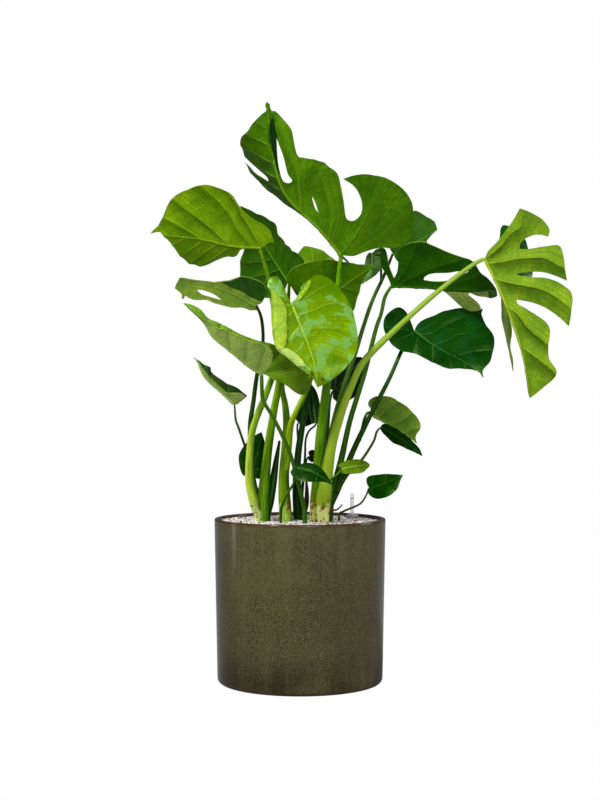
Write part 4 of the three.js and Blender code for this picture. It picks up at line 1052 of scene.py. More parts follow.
def rib_and_vein_rows(length, veins):
    """Rows of points beside the midrib and the side veins."""
    rows = []
    for across in RIB_ROWS:
        us = np.arange(1.0, length - 1, RIB_ROW_STEP)
        rows.append(np.stack([us, np.full_like(us, across)], axis=1))
    for sign, _, held, _ in veins:
        if len(held) < 3:
            continue
        ahead = unit(np.gradient(held, axis=0))
        beside = np.stack([-ahead[:, 1], ahead[:, 0]], axis=1)
        for off in VEIN_ROWS:
            line = held + beside * off
            line = line[line[:, 1] > VEIN_START]
            rows.append(np.stack([line[:, 0], line[:, 1] * sign], axis=1))
    return np.vstack(rows)


def flat_sheet(loops, length, veins, patches):
    """Even triangles that fill the outline, finer along the midrib and the side veins, with
    edges along the patches' outlines."""
    grid = even_grid(loops[0].min(axis=0), loops[0].max(axis=0))
    on_rib = (np.abs(grid[:, 1]) < RIB_CLEAR) & (grid[:, 0] > -1)
    grid = grid[~on_rib]
    nearest = vein_field(veins, grid[:, 0], grid[:, 1])[0]
    grid = grid[nearest > VEIN_CLEAR]
    rows = rib_and_vein_rows(length, veins)
    rows = rows[distance_to(loops, rows) > ROW_RIM_CLEAR]
    grid = grid[distance_to(loops, grid) > GRID_RIM_CLEAR]
    inner = np.vstack([rows, grid])
    inner = inner[inside(loops, inner)]
    if patches:
        inner = inner[distance_to(patches, inner) > PATCH_CLEAR]
    coords = [tuple(p) for p in np.vstack([*loops, *patches, inner])]
    edges = []
    first = 0
    for loop in [*loops, *patches]:
        n = len(loop)
        edges += [(first + i, first + (i + 1) % n) for i in range(n)]
        first += n
    verts, _, faces, *_ = delaunay_2d_cdt(coords, edges, [], 0, 1e-4)
    points = np.array([tuple(v) for v in verts])
    faces = np.array([f for f in faces if len(f) == 3])
    faces = faces[inside(loops, points[faces].mean(axis=1))]
    a, b, c = points[faces[:, 0]], points[faces[:, 1]], points[faces[:, 2]]
    area = (b[:, 0] - a[:, 0]) * (c[:, 1] - a[:, 1]) - (b[:, 1] - a[:, 1]) * (c[:, 0] - a[:, 0])
    faces[area < 0] = faces[area < 0][:, ::-1]
    return points, faces[np.abs(area) > 1e-3]


def face_normals(points, faces):
    a, b, c = (points[faces[:, i]] for i in range(3))
    return np.cross(b - a, c - a)


def sheet_normals(points, faces):
    """Even unit normals of a sheet's points."""
    on_faces = face_normals(points, faces)
    normals = np.zeros_like(points)
    for i in range(3):
        np.add.at(normals, faces[:, i], on_faces)
    return unit(normals)


def make_object(name, verts, faces, materials, slots, uvs, replaces):
    """A mesh object in metres. uvs maps a layer's name to one (x, y) for each vertex."""
    mesh = bpy.data.meshes.new(name)
    mesh.from_pydata((np.asarray(verts) * MM).tolist(), [], [list(map(int, f)) for f in faces])
    for material in materials:
        mesh.materials.append(material)
    mesh.polygons.foreach_set("material_index", np.asarray(slots, np.int32))
    mesh.polygons.foreach_set("use_smooth", np.ones(len(mesh.polygons), bool))
    loop_verts = np.zeros(len(mesh.loops), np.int32)
    mesh.loops.foreach_get("vertex_index", loop_verts)
    for layer, values in uvs.items():
        uv = mesh.uv_layers.new(name=layer)
        uv.uv.foreach_set("vector", np.asarray(values, np.float32)[loop_verts].ravel())
    mesh.set_sharp_from_angle(angle=math.radians(SMOOTH_ANGLE))
    mesh.update()
    obj = bpy.data.objects.new(name, mesh)
    bpy.context.scene.collection.objects.link(obj)
    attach(obj, "root")
    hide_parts(replaces)
    return obj


def make_plain(name, shape, materials, replaces, slots=None):
    """An object from (points, faces) that needs no texture layer of its own."""
    points, faces = shape
    uvs = {"plain": [(p[0] / 100, p[1] / 100) for p in points]}
    return make_object(name, points, faces, materials, slots or [0] * len(faces), uvs, replaces)


def swelling(name, u, v, phase, apart, rim_far):
    """How far each point of a blade stands off its bent sheet: up between the side veins,
    down at the rim, with slow waves."""
    w = np.abs(v)
    between = np.sin(math.pi * (phase % 1)) - 0.45
    reach = np.clip(w / 16, 0, 1) * np.clip(apart / EDGE_GAP, 0.1, 1)
    swell = np.where(v >= 0, *PUCKERS.get(name, (PUCKER, PUCKER))) * between * reach
    swell -= RIM_DROP * np.exp(-rim_far / 5)
    swell += WAVE * np.sin(u / 17 + v / 11) * np.clip(w / 60, 0, 1)
    return swell


def both_sides(middle, normals, s, u, v, nearest, strength):
    """The upper side with its sunk midrib, and the underside with its keel and raised veins."""
    half = BLADE_THICKNESS / 2
    rib_width = 2.6 * (1 - s) ** 0.5 + 0.8
    rib = np.exp(-((v / rib_width) ** 2)) * np.clip(1 + u / 2, 0, 1)
    keel = KEEL_DEPTH * (1 - s) ** 0.7 * rib
    groove = GROOVE_DEPTH * rib * np.clip((1 - s) * 3, 0, 1)
    ridge = RIDGE_HEIGHT * np.exp(-((nearest / (0.7 + 0.9 * strength)) ** 2)) * strength
    top = middle + normals * (half - groove - 0.3 * ridge)[:, None]
    bottom = middle - normals * (half + keel + ridge)[:, None]
    return np.vstack([top, bottom])


def rim_faces(up_faces, count):
    """The faces between the edges of the upper side and those of the underside."""
    edges = {}
    for f in up_faces.tolist():
        for i in range(3):
            edges[(f[i], f[(i + 1) % 3])] = True
    return [(q, p, p + count, q + count) for p, q in edges if (q, p) not in edges]


def blade_materials(name, patches, seen):
    upper_rgb, upper_vein, under_rgb, under_vein = LOOKS[name]
    upper_rough, under_rough = ROUGHNESS.get(name, PLAIN_ROUGHNESS)
    painted_glare = PAINTED_GLARE.get(name)
    materials = [
        leaf_material(f"{name}_upper", upper_rgb, upper_vein, upper_rough, -1, painted_glare),
        leaf_material(f"{name}_under", under_rgb, under_vein, under_rough, 1, painted_glare),
        rim_material(),
    ]
    # A material for each patch, painted shade and painted light among them.
    for i, (_, rgb, _) in enumerate(patches):
        lighter = tuple(c * 0.8 + 40 for c in rgb)
        materials.append(leaf_material(f"{name}_fold_{i}", rgb, lighter, under_rough, -seen))
    return materials


def make_blade(name):
    leaf = LEAVES[name]
    length = curve_length(leaf["midrib"])
    outline = [(0, 0), *leaf["right"], (length, 0)]
    outline += [(u, -v) for u, v in reversed(leaf["left"])]
    loops = [smooth_loop(points) for points in [outline, *leaf.get("holes", [])]]
    veins = side_veins(name, length, loops)
    patches = PATCHES.get(name, [])
    patch_loops = [smooth_loop(points) for _, _, points in patches]
    flat, faces = flat_sheet(loops, length, veins, patch_loops)
    u, v = flat[:, 0], flat[:, 1]
    s = np.clip(u / length, 0, 1)
    nearest, strength, phase, apart = vein_field(veins, u, v)
    rim_far = distance_to(loops, flat)
    middle = blade_point(leaf, length, u, v)
    facing = face_normals(middle, faces).sum(axis=0)
    upper = 1 if facing @ np.array(leaf["face"], float) > 0 else -1
    seen = 1 if facing @ TO_CAMERA * upper > 0 else -1
    swell = swelling(name, u, v, phase, apart, rim_far)
    middle = middle + sheet_normals(middle, faces) * upper * swell[:, None]
    normals = sheet_normals(middle, faces) * upper
    for (lift, _, _), loop in zip(patches, patch_loops):
        within = inside([loop], flat) | (distance_to([loop], flat) < 0.1)
        rounded = np.minimum(rim_far / 4 + 0.15, 1)
        middle = middle + normals * (within * seen * lift * rounded)[:, None]
    normals = sheet_normals(middle, faces) * upper
    points = both_sides(middle, normals, s, u, v, nearest, strength)
    up_faces = faces if upper > 0 else faces[:, ::-1]
    down_faces = up_faces[:, ::-1] + len(flat)
    rim = rim_faces(up_faces, len(flat))
    slots = np.repeat([0, 1, 2], [len(up_faces), len(down_faces), len(rim)])
    shown = slice(0, len(faces)) if seen > 0 else slice(len(faces), 2 * len(faces))
    for i, loop in enumerate(patch_loops):
        slots[shown][inside([loop], flat[faces].mean(axis=1))] = 3 + i
    layers = {"blade": (u / 100, v / 100), "veins": (nearest / 10, phase / 10), "share": (s, strength)}
    uvs = {layer: np.tile(np.stack(pair, axis=1), (2, 1)) for layer, pair in layers.items()}
    make_object(
        f"{name}_blade", points, [*up_faces.tolist(), *down_faces.tolist(), *rim],
        blade_materials(name, patches, seen), slots, uvs, name
    )


class Nodes:
    """A short way to write a material's nodes."""

    def __init__(self, name):
        self.material = bpy.data.materials.new(name)
        self.material.use_nodes = True
        self.tree = self.material.node_tree
        self.shader = self.tree.nodes["Principled BSDF"]

    def node(self, kind, **inputs):
        made = self.tree.nodes.new(kind)
        for key, value in inputs.items():
            self.put(made.inputs[key.replace("_", " ")], value)
        return made

    def put(self, socket, value):
        if isinstance(value, bpy.types.NodeSocket):
            self.tree.links.new(value, socket)
        else:
            socket.default_value = value

    def math(self, operation, *values):
        made = self.tree.nodes.new("ShaderNodeMath")
        made.operation = operation
        for socket, value in zip(made.inputs, values):
            self.put(socket, value)
        return made.outputs[0]

    def times(self, a, b):
        return self.math("MULTIPLY", a, b)

    def plus(self, a, b):
        return self.math("ADD", a, b)

    def rest(self, value):
        """What is left of 1."""
        return self.math("SUBTRACT", 1, value)

    def smooth(self, value, low, high):
        """0 at low and 1 at high, with soft ends."""
        made = self.node("ShaderNodeMapRange", Value=value, From_Min=low, From_Max=high)
        made.interpolation_type = "SMOOTHSTEP"
        return made.outputs["Result"]

    def scale_between(self, value, low, high):
        """Turns 0 to 1 into low to high."""
        return self.node("ShaderNodeMapRange", Value=value, To_Min=low, To_Max=high).outputs["Result"]

    def mix(self, share, a, b, blend="MIX"):
        made = self.tree.nodes.new("ShaderNodeMix")
        made.data_type = "RGBA"
        made.blend_type = blend
        self.put(made.inputs["Factor"], share)
        self.put(made.inputs["A"], a)
        self.put(made.inputs["B"], b)
        return made.outputs["Result"]

    def over(self, under, mask, amount, colour):
        """A colour laid over another one by this amount where the mask is 1."""
        return self.mix(self.times(mask, amount), under, colour)

    def noise(self, vector, scale, detail=3.0, rough=0.5):
        made = self.node("ShaderNodeTexNoise", Scale=scale, Detail=detail, Roughness=rough, Vector=vector)
        return made.outputs["Fac"]

    def uv(self, layer):
        made = self.tree.nodes.new("ShaderNodeUVMap")
        made.uv_map = layer
        return made.outputs["UV"]

    def parts(self, vector):
        return self.node("ShaderNodeSeparateXYZ", Vector=vector).outputs[:3]

    def point(self, x, y, z):
        return self.node("ShaderNodeCombineXYZ", X=x, Y=y, Z=z).outputs[0]

    def position(self):
        return self.tree.nodes.new("ShaderNodeTexCoord").outputs["Object"]

    def bump(self, height, strength, distance):
        made = self.node("ShaderNodeBump", Strength=strength, Distance=distance * MM, Height=height)
        self.put(self.shader.inputs["Normal"], made.outputs["Normal"])

    def set(self, **inputs):
        for key, value in inputs.items():
            self.put(self.shader.inputs[key.replace("_", " ")], value)


def leaf_material(name, rgb, vein_rgb, roughness, raised, painted_glare=None):
    """A blade's side: midrib, side veins, a net of veinlets, mottling, painted shade beside the veins,
    painted light and shade between them, painted glare where it is given, and soft shine.
    raised is 1 where the veins stand proud and -1 where they are sunk."""
    n = Nodes(name)
    place = n.uv("blade")
    u, v, _ = n.parts(place)
    nearest, phase, _ = n.parts(n.uv("veins"))
    share, strength, _ = n.parts(n.uv("share"))
    out = n.times(n.math("ABSOLUTE", v), 100)
    far = n.times(nearest, 10)
    turn = n.times(phase, 10)
    past_base = n.smooth(u, -0.03, 0.01)
    width = n.math("MULTIPLY_ADD", strength, 1.0, 0.45)
    vein = n.rest(n.smooth(far, n.times(width, 0.3), width))
    vein = n.times(vein, n.math("MULTIPLY_ADD", strength, 0.8, 0.12))
    rib_size = n.times(n.math("POWER", n.rest(n.times(share, 0.92)), 0.7), 2.5)
    rib = n.rest(n.smooth(out, n.times(rib_size, 0.45), rib_size))
    rib = n.times(rib, past_base)
    # Painted shade in the valleys beside the side veins and along the midrib.
    beside = n.times(n.smooth(far, 7.0, 0.8), n.math("MULTIPLY_ADD", strength, 0.8, 0.1))
    beside = n.math("MAXIMUM", beside, n.times(n.smooth(out, 9.0, 1.0), past_base))
    wander = n.times(n.math("SUBTRACT", n.noise(place, 5.0), 0.5), 0.12)
    line = n.math("PINGPONG", n.times(n.plus(turn, wander), 7.0), 0.5)
    veinlet = n.smooth(line, 0.2, 0.02)
    cells = n.node("ShaderNodeTexVoronoi", Scale=13.0, Vector=place)
    cells.feature = "DISTANCE_TO_EDGE"
    net = n.smooth(cells.outputs["Distance"], 0.12, 0.02)
    between = n.math("FRACT", turn)
    soft = n.noise(place, 1.6, 4.0, 0.6)
    blotch = n.noise(place, 6.0, 3.0, 0.6)
    fine = n.noise(place, 34.0, 3.0, 0.6)
    base = linear(rgb)
    dark = shaded(base, (0.36, 0.5, 0.55))
    light = shaded(base, (1.75, 1.46, 1.5))
    colour = n.mix(n.smooth(soft, 0.34, 0.66), blended(base, dark, 0.62), blended(base, light, 0.62))
    colour = n.over(colour, n.smooth(blotch, 0.42, 0.68), 0.4, dark)
    # Painted light and shade across each strip between two side veins, as light falls on its swelling:
    # lighter towards the next vein, darker just past the last one.
    colour = n.over(colour, n.smooth(between, 0.4, 0.95), 0.34, light)
    colour = n.over(colour, n.smooth(between, 0.45, 0.05), 0.28, dark)
    # Painted shade beside the veins and the midrib.
    colour = n.over(colour, beside, 0.3, dark)
    colour = n.over(colour, n.smooth(fine, 0.4, 0.7), 0.3, dark)
    colour = n.over(colour, veinlet, 0.42, dark)
    colour = n.over(colour, net, 0.32, dark)
    if painted_glare:
        glare_rgb, glare_share = painted_glare
        # Darker towards the base, and pale patches of painted glare where the lamps shine on the glossy
        # surface.
        colour = n.over(colour, n.smooth(u, 0.5, -0.3), 0.7, dark)
        glare_spots = n.smooth(n.noise(place, 3.0, 4.0, 0.55), 0.54, 0.58)
        colour = n.over(colour, glare_spots, glare_share, linear(glare_rgb))
    colour = n.over(colour, vein, 0.85, linear(vein_rgb))
    colour = n.over(colour, rib, 0.9, linear(vein_rgb))
    height = n.times(n.plus(vein, n.times(rib, 0.5)), raised)
    height = n.plus(height, n.times(n.plus(veinlet, net), 0.3 if raised > 0 else -0.12))
    n.bump(n.plus(height, n.times(fine, 0.2)), 0.7, 0.7)
    n.set(Base_Color=colour, Roughness=n.scale_between(fine, roughness - 0.05, roughness + 0.08))
    n.set(IOR=1.45, Specular_IOR_Level=0.28 if raised < 0 else 0.14, Specular_Tint=(0.5, 1, 0.2, 1))
    return n.material


def rim_material():
    made = bpy.data.materials.get("blade_rim")
    if made:
        return made
    n = Nodes("blade_rim")
    tone = n.noise(n.position(), 60.0, 2.0)
    n.set(Base_Color=n.mix(tone, linear((96, 134, 24)), linear((140, 168, 60))))
    n.set(Roughness=0.5, Specular_IOR_Level=0.2)
    return n.material


def stem_material(name, top_rgb, foot_rgb, sheath_rgb):
    """A petiole: long streaks, painted shade down its right side, a painted highlight down its left
    side, and a waxy surface. Where sheath_rgb is given, a pale scarred sheath stands round its foot."""
    n = Nodes(name)
    share, turn, _ = n.parts(n.uv("share"))
    far, _, _ = n.parts(n.uv("size"))
    place = n.position()
    _, _, z = n.parts(place)
    streak = n.noise(n.point(n.times(far, 1.2), n.times(turn, 9), 0), 3.0, 4.0, 0.6)
    patch = n.noise(place, 28.0, 3.0, 0.55)
    fleck = n.noise(place, 420.0, 2.0)
    colour = n.mix(n.smooth(share, 0.1, 0.95), linear(top_rgb), linear(foot_rgb))
    if sheath_rgb:
        ragged = n.math("MULTIPLY_ADD", patch, 0.03, z)
        sheath = n.smooth(ragged, SHEATH_TOP + 0.004, SHEATH_TOP - 0.004)
        colour = n.over(colour, sheath, 0.8, linear(sheath_rgb))
    dark = n.mix(1.0, colour, (0.34, 0.46, 0.34, 1), "MULTIPLY")
    # pale is the colour of the painted highlight down the left side.
    pale = n.mix(1.0, colour, (1.7, 1.45, 2.2, 1), "MULTIPLY")
    colour = n.mix(n.smooth(streak, 0.4, 0.58), dark, colour)
    # Painted shade down the right side and a painted highlight down the left, as the key light falls from
    # the upper left.
    colour = n.over(colour, n.smooth(turn, 0.5, 0.86), 0.9, dark)
    colour = n.over(colour, n.smooth(turn, 0.42, 0.2), 0.6, pale)
    colour = n.over(colour, n.smooth(fleck, 0.66, 0.78), 0.5, dark)
    if sheath_rgb:
        scar = n.smooth(n.noise(place, 95.0, 3.0, 0.6), 0.52, 0.57)
        scar = n.times(scar, n.smooth(ragged, SHEATH_TOP + 0.016, SHEATH_TOP - 0.004))
        colour = n.over(colour, scar, 0.85, linear((88, 46, 18)))
    n.bump(n.plus(n.times(streak, 0.8), n.times(fleck, 0.2)), 0.6, 0.6)
    n.set(Base_Color=colour, Roughness=n.scale_between(patch, 0.3, 0.45))
    n.set(IOR=1.45, Specular_IOR_Level=0.18, Specular_Tint=(0.7, 1, 0.35, 1))
    return n.material


def circle_rows(count, sides):
    """The corners (a, b) of each side in each of the rows of a tube, row by row."""
    for i in range(count):
        for k in range(sides):
            yield i * sides + k, i * sides + (k + 1) % sides


def tube(route, seed):
    """A tube along a route, a little uneven, with rounded ends."""
    length = curve_length(route)
    steps = max(8, round(length / TUBE_STEP))
    s = np.linspace(0, 1, steps + 1)
    on = curve(route, s)
    centre, radius = on[:, :3], on[:, 3].copy()
    ahead = ahead_on(route, s)
    wave = random.Random(seed).uniform(0, 6)
    radius *= 1 + 0.025 * np.sin(s * length / 23 + wave) + 0.015 * np.sin(s * length / 9 + wave)
    sideways = np.array([1.0, 0, 0]) if abs(ahead[0][0]) < 0.8 else np.array([0, 1.0, 0])
    points, uv_share, uv_size = [], [], []
    for i in range(steps + 1):
        sideways = unit(sideways - ahead[i] * (sideways @ ahead[i]))
        other = np.cross(ahead[i], sideways)
        for k in range(TUBE_SIDES):
            angle = 2 * math.pi * k / TUBE_SIDES
            r = radius[i] * (1 + 0.035 * math.cos(3 * angle + wave))
            points.append(centre[i] + sideways * r * math.cos(angle) + other * r * math.sin(angle))
            uv_share.append((s[i], abs(k / TUBE_SIDES - 0.5) * 2))
            uv_size.append((s[i] * length / 100, 0))
    faces = [(a, a + TUBE_SIDES, b + TUBE_SIDES, b) for a, b in circle_rows(steps, TUBE_SIDES)]
    for end, beyond in ((0, -0.4), (steps, 0.2)):
        points.append(centre[end] + ahead[end] * radius[end] * beyond)
        uv_share.append((float(end > 0), 0))
        uv_size.append((float(end > 0) * length / 100, 0))
        for a, b in circle_rows(1, TUBE_SIDES):
            ring = (end * TUBE_SIDES + a, end * TUBE_SIDES + b)
            faces.append((len(points) - 1, *(ring[::-1] if end else ring)))
    return np.array(points), faces, uv_share, uv_size


def make_clump(name, keys):
    points, faces, slots, share, size, materials = [], [], [], [], [], []
    for order, key in enumerate(keys):
        route = list(ROUTES[key])
        x, y, z, radius = route[-1]
        if z < GRAVEL_TOP + STUB_REACH:
            route.append((x, y, STUB_FOOT, radius))
        tube_points, tube_faces, tube_share, tube_size = tube(route, key)
        first = sum(len(made) for made in points)
        points.append(tube_points)
        faces += [tuple(i + first for i in face) for face in tube_faces]
        slots += [order] * len(tube_faces)
        share += tube_share
        size += tube_size
        colours = STEMS.get(key, PLAIN_STEM)
        materials.append(stem_material(f"stem_{key}", *colours, SHEATHS.get(key)))
    uvs = {"share": share, "size": size}
    make_object(f"{name}_stems", np.vstack(points), faces, materials, slots, uvs, name)


def turned(profile, sides, at=(0, 0)):
    """A closed shape turned about a vertical axis, from (radius, height) pairs that
    start and end on the axis."""
    points, faces, rings = [], [], []
    for radius, z in profile:
        angles = [2 * math.pi * k / sides for k in range(sides if radius else 1)]
        rings.append([len(points) + k for k in range(len(angles))])
        points += [(at[0] + radius * math.cos(t), at[1] + radius * math.sin(t), z) for t in angles]
    for low, high in zip(rings, rings[1:]):
        for k in range(sides):
            after = (k + 1) % sides
            if len(low) == 1:
                faces.append((low[0], high[after], high[k]))
            elif len(high) == 1:
                faces.append((low[k], low[after], high[0]))
            else:
                faces.append((low[k], low[after], high[after], high[k]))
    return np.array(points), faces


def ring_turned(profile, sides, at):
    """A closed ring turned about a vertical axis, from a profile that closes on itself."""
    points, faces = [], []
    n = len(profile)
    for k in range(sides):
        angle = 2 * math.pi * k / sides
        for radius, z in profile:
            points.append((at[0] + radius * math.cos(angle), at[1] + radius * math.sin(angle), z))
    for k in range(sides):
        after = (k + 1) % sides
        for i in range(n):
            j = (i + 1) % n
            faces.append((k * n + i, after * n + i, after * n + j, k * n + j))
    return np.array(points), faces


def arc(cx, cz, radius, start, end, steps):
    """Points of an arc in a (radius, height) profile, angles in degrees."""
    out = []
    for i in range(steps + 1):
        angle = math.radians(start + (end - start) * i / steps)
        out.append((cx + radius * math.cos(angle), cz + radius * math.sin(angle)))
    return out


def glaze_material():
    """Olive reactive glaze: dense fine specks, faint cloudy bands that also paint light on the upper
    half and shade towards the foot, brown where it thins, and painted shade and dark reflection
    towards the left and right."""
    n = Nodes("reactive_glaze")
    place = n.position()
    x, y, z = n.parts(place)
    height = n.math("DIVIDE", z, POT_HEIGHT * MM)
    cloud = n.noise(n.point(x, y, n.times(z, 1.8)), 6.0, 4.0, 0.6)
    drip = n.noise(n.point(x, y, n.times(z, 0.08)), 60.0, 3.0, 0.6)
    grain = n.noise(place, 640.0, 4.0, 0.8)
    speck = n.noise(place, 240.0, 2.0, 0.6)
    shade = n.plus(n.times(cloud, 0.6), n.times(drip, 0.4))
    # Painted light on the upper half and painted shade towards the foot, in cloudy patches.
    high = n.times(n.smooth(height, 0.45, 0.95), n.smooth(shade, 0.35, 0.6))
    low = n.times(n.smooth(height, 0.3, 0.06), n.smooth(shade, 0.68, 0.42))
    thin = n.math("MAXIMUM", n.smooth(height, 0.975, 0.995), n.smooth(height, 0.03, 0.008))
    # Painted shade and dark reflection towards the left and right edges of the pot as seen from the
    # front.
    side = n.smooth(n.math("ABSOLUTE", x), 0.09, 0.15)
    colour = n.mix(n.smooth(shade, 0.36, 0.64), linear((54, 45, 20)), linear((68, 63, 32)))
    for mask, amount, rgb in [
        (n.smooth(grain, 0.44, 0.6), 0.85, (94, 91, 60)),
        (n.smooth(grain, 0.52, 0.38), 0.85, (28, 22, 8)),
        (n.smooth(speck, 0.68, 0.73), 0.6, (24, 18, 8)),
        (high, 0.3, (98, 102, 70)),
        (low, 0.8, (32, 24, 10)),
        (thin, 0.8, (66, 42, 24)),
        (side, 0.5, (44, 28, 8)),
    ]:
        colour = n.over(colour, mask, amount, linear(rgb))
    n.bump(n.plus(n.times(grain, 0.4), n.times(drip, 1.2)), 0.35, 0.5)
    n.set(Base_Color=colour, Roughness=n.scale_between(grain, 0.08, 0.16))
    n.set(IOR=1.5, Specular_IOR_Level=0.22)
    return n.material


def make_pot():
    taper = (POT_RIM_RADIUS - POT_FOOT_RADIUS) / POT_HEIGHT

    def inner(z):
        return (POT_FOOT_RADIUS - POT_WALL + taper * z, z)

    rim = POT_HEIGHT - POT_RIM_ROUND
    profile = [(0, 0), (60, 0), (120, 0)]
    profile += arc(POT_FOOT_RADIUS - POT_FOOT_ROUND, POT_FOOT_ROUND, POT_FOOT_ROUND, -90, 0, 8)
    for i in range(1, POT_ROWS):
        z = POT_FOOT_ROUND + (rim - POT_FOOT_ROUND) * i / POT_ROWS
        profile.append((POT_FOOT_RADIUS + taper * z * 0.99, z))
    profile += arc(POT_RIM_RADIUS - POT_RIM_ROUND, rim, POT_RIM_ROUND, 0, 90, 6)
    profile += arc(inner(POT_HEIGHT)[0] + POT_RIM_ROUND, rim, POT_RIM_ROUND, 90, 180, 6)
    low = inner(POT_FLOOR + POT_CORNER)
    profile += [inner(POT_INNER_ROW), low, (low[0] - POT_CORNER, POT_FLOOR)]
    profile += [(60, POT_FLOOR), (0, POT_FLOOR)]
    make_plain("pot_glazed", turned(profile, POT_SIDES), [glaze_material()], "pot")


def gravel_material(i, pale, dark):
    n = Nodes(f"gravel_{i}")
    tone = n.noise(n.position(), 300.0, 3.0, 0.6)
    n.set(Base_Color=n.mix(n.smooth(tone, 0.35, 0.65), linear(pale), linear(dark)))
    n.bump(n.noise(n.position(), 900.0, 3.0, 0.6), 0.5, 0.4)
    n.set(Roughness=0.8, Specular_IOR_Level=0.3)
    return n.material


def icosahedron():
    g = (1 + 5**0.5) / 2
    points = [
        (-1, g, 0), (1, g, 0), (-1, -g, 0), (1, -g, 0), (0, -1, g), (0, 1, g),
        (0, -1, -g), (0, 1, -g), (g, 0, -1), (g, 0, 1), (-g, 0, -1), (-g, 0, 1),
    ]
    faces = [
        (0, 11, 5), (0, 5, 1), (0, 1, 7), (0, 7, 10), (0, 10, 11), (1, 5, 9), (5, 11, 4),
        (11, 10, 2), (10, 7, 6), (7, 1, 8), (3, 9, 4), (3, 4, 2), (3, 2, 6), (3, 6, 8),
        (3, 8, 9), (4, 9, 5), (2, 4, 11), (6, 2, 10), (8, 6, 7), (9, 8, 1),
    ]
    return unit(np.array(points, float)), faces


def grain_points(rng, ball, x, y):
    """One crushed grain: an uneven ball, turned and flattened, lying on the slab."""
    size = GRAIN_SIZE * rng.uniform(0.75, 1.25)
    angle = rng.uniform(0, 6.283)
    lumps = np.array([rng.uniform(0.78, 1.2) for _ in ball])
    flattened = np.array([1, rng.uniform(0.7, 1), rng.uniform(0.6, 0.85)])
    grain = ball * lumps[:, None] * size * flattened
    c, s = math.cos(angle), math.sin(angle)
    turn = np.array([[c, -s, 0], [s, c, 0], [0, 0, 1]])
    z = GRAVEL_TOP - 1.6 + rng.uniform(-0.6, 0.8) + 0.5 * math.sin(x / 19) * math.cos(y / 23)
    return grain @ turn.T + np.array([x, y, z])


def make_gravel():
    """A bed of crushed stone: a slab with a seeded layer of uneven grains on it."""
    rng = random.Random(11)
    taper = (POT_RIM_RADIUS - POT_FOOT_RADIUS) * GRAVEL_TOP / POT_HEIGHT
    radius = POT_FOOT_RADIUS + taper - POT_WALL - GRAVEL_WALL_GAP
    edge, top = radius - SLAB_INSET, GRAVEL_TOP - SLAB_BELOW_TOP
    slab = [(0, GRAVEL_BOTTOM), (edge, GRAVEL_BOTTOM), (edge, top), (0, top)]
    points, faces = turned(slab, SLAB_SIDES)
    count = len(points)
    points = [points]
    slots = [1] * len(faces)
    ball, ball_faces = icosahedron()
    shares = [share for _, _, share in GRAIN_SHADES]
    row = 0
    y = -radius
    while y < radius:
        x = -radius + (row % 2) * GRAIN_SPACING / 2
        while x < radius:
            px = x + rng.uniform(-GRAIN_SHIFT, GRAIN_SHIFT)
            py = y + rng.uniform(-GRAIN_SHIFT, GRAIN_SHIFT)
            if math.hypot(px, py) < radius - GRAIN_INSET:
                points.append(grain_points(rng, ball, px, py))
                faces += [tuple(i + count for i in f) for f in ball_faces]
                slots += [bisect.bisect(shares, rng.random())] * len(ball_faces)
                count += len(ball)
            x += GRAIN_SPACING
        y += GRAIN_SPACING * ROW_HEIGHT
        row += 1
    materials = [gravel_material(i, pale, dark) for i, (pale, dark, _) in enumerate(GRAIN_SHADES)]
    made = make_plain("gravel_grains", (np.vstack(points), faces), materials, "gravel", slots)
    made.data.set_sharp_from_angle(angle=math.radians(GRAIN_SMOOTH_ANGLE))


def plain_material(name, rgb, rgb_dark, roughness, grain=500.0):
    n = Nodes(name)
    tone = n.noise(n.position(), grain, 3.0, 0.6)
    n.set(Base_Color=n.mix(n.smooth(tone, 0.35, 0.7), linear(rgb), linear(rgb_dark)), Roughness=roughness)
    n.bump(tone, 0.2, 0.2)
    return n.material


def tube_material():
    """Clear plastic with orange marks."""
    n = Nodes("clear_tube")
    place = n.position()
    tone = n.noise(place, 200.0, 2.0)
    _, _, z = n.parts(place)
    colour = n.mix(tone, (0.86, 0.88, 0.92, 1), (0.97, 0.97, 0.98, 1))
    outer, inner = GAUGE_MARK_EDGE
    for mark in GAUGE_MARKS:
        off = n.math("ABSOLUTE", n.math("SUBTRACT", z, mark * MM))
        colour = n.mix(n.smooth(off, outer * MM, inner * MM), colour, linear((214, 150, 60)))
    n.set(Base_Color=colour, Roughness=0.12, IOR=1.45, Alpha=0.6)
    return n.material


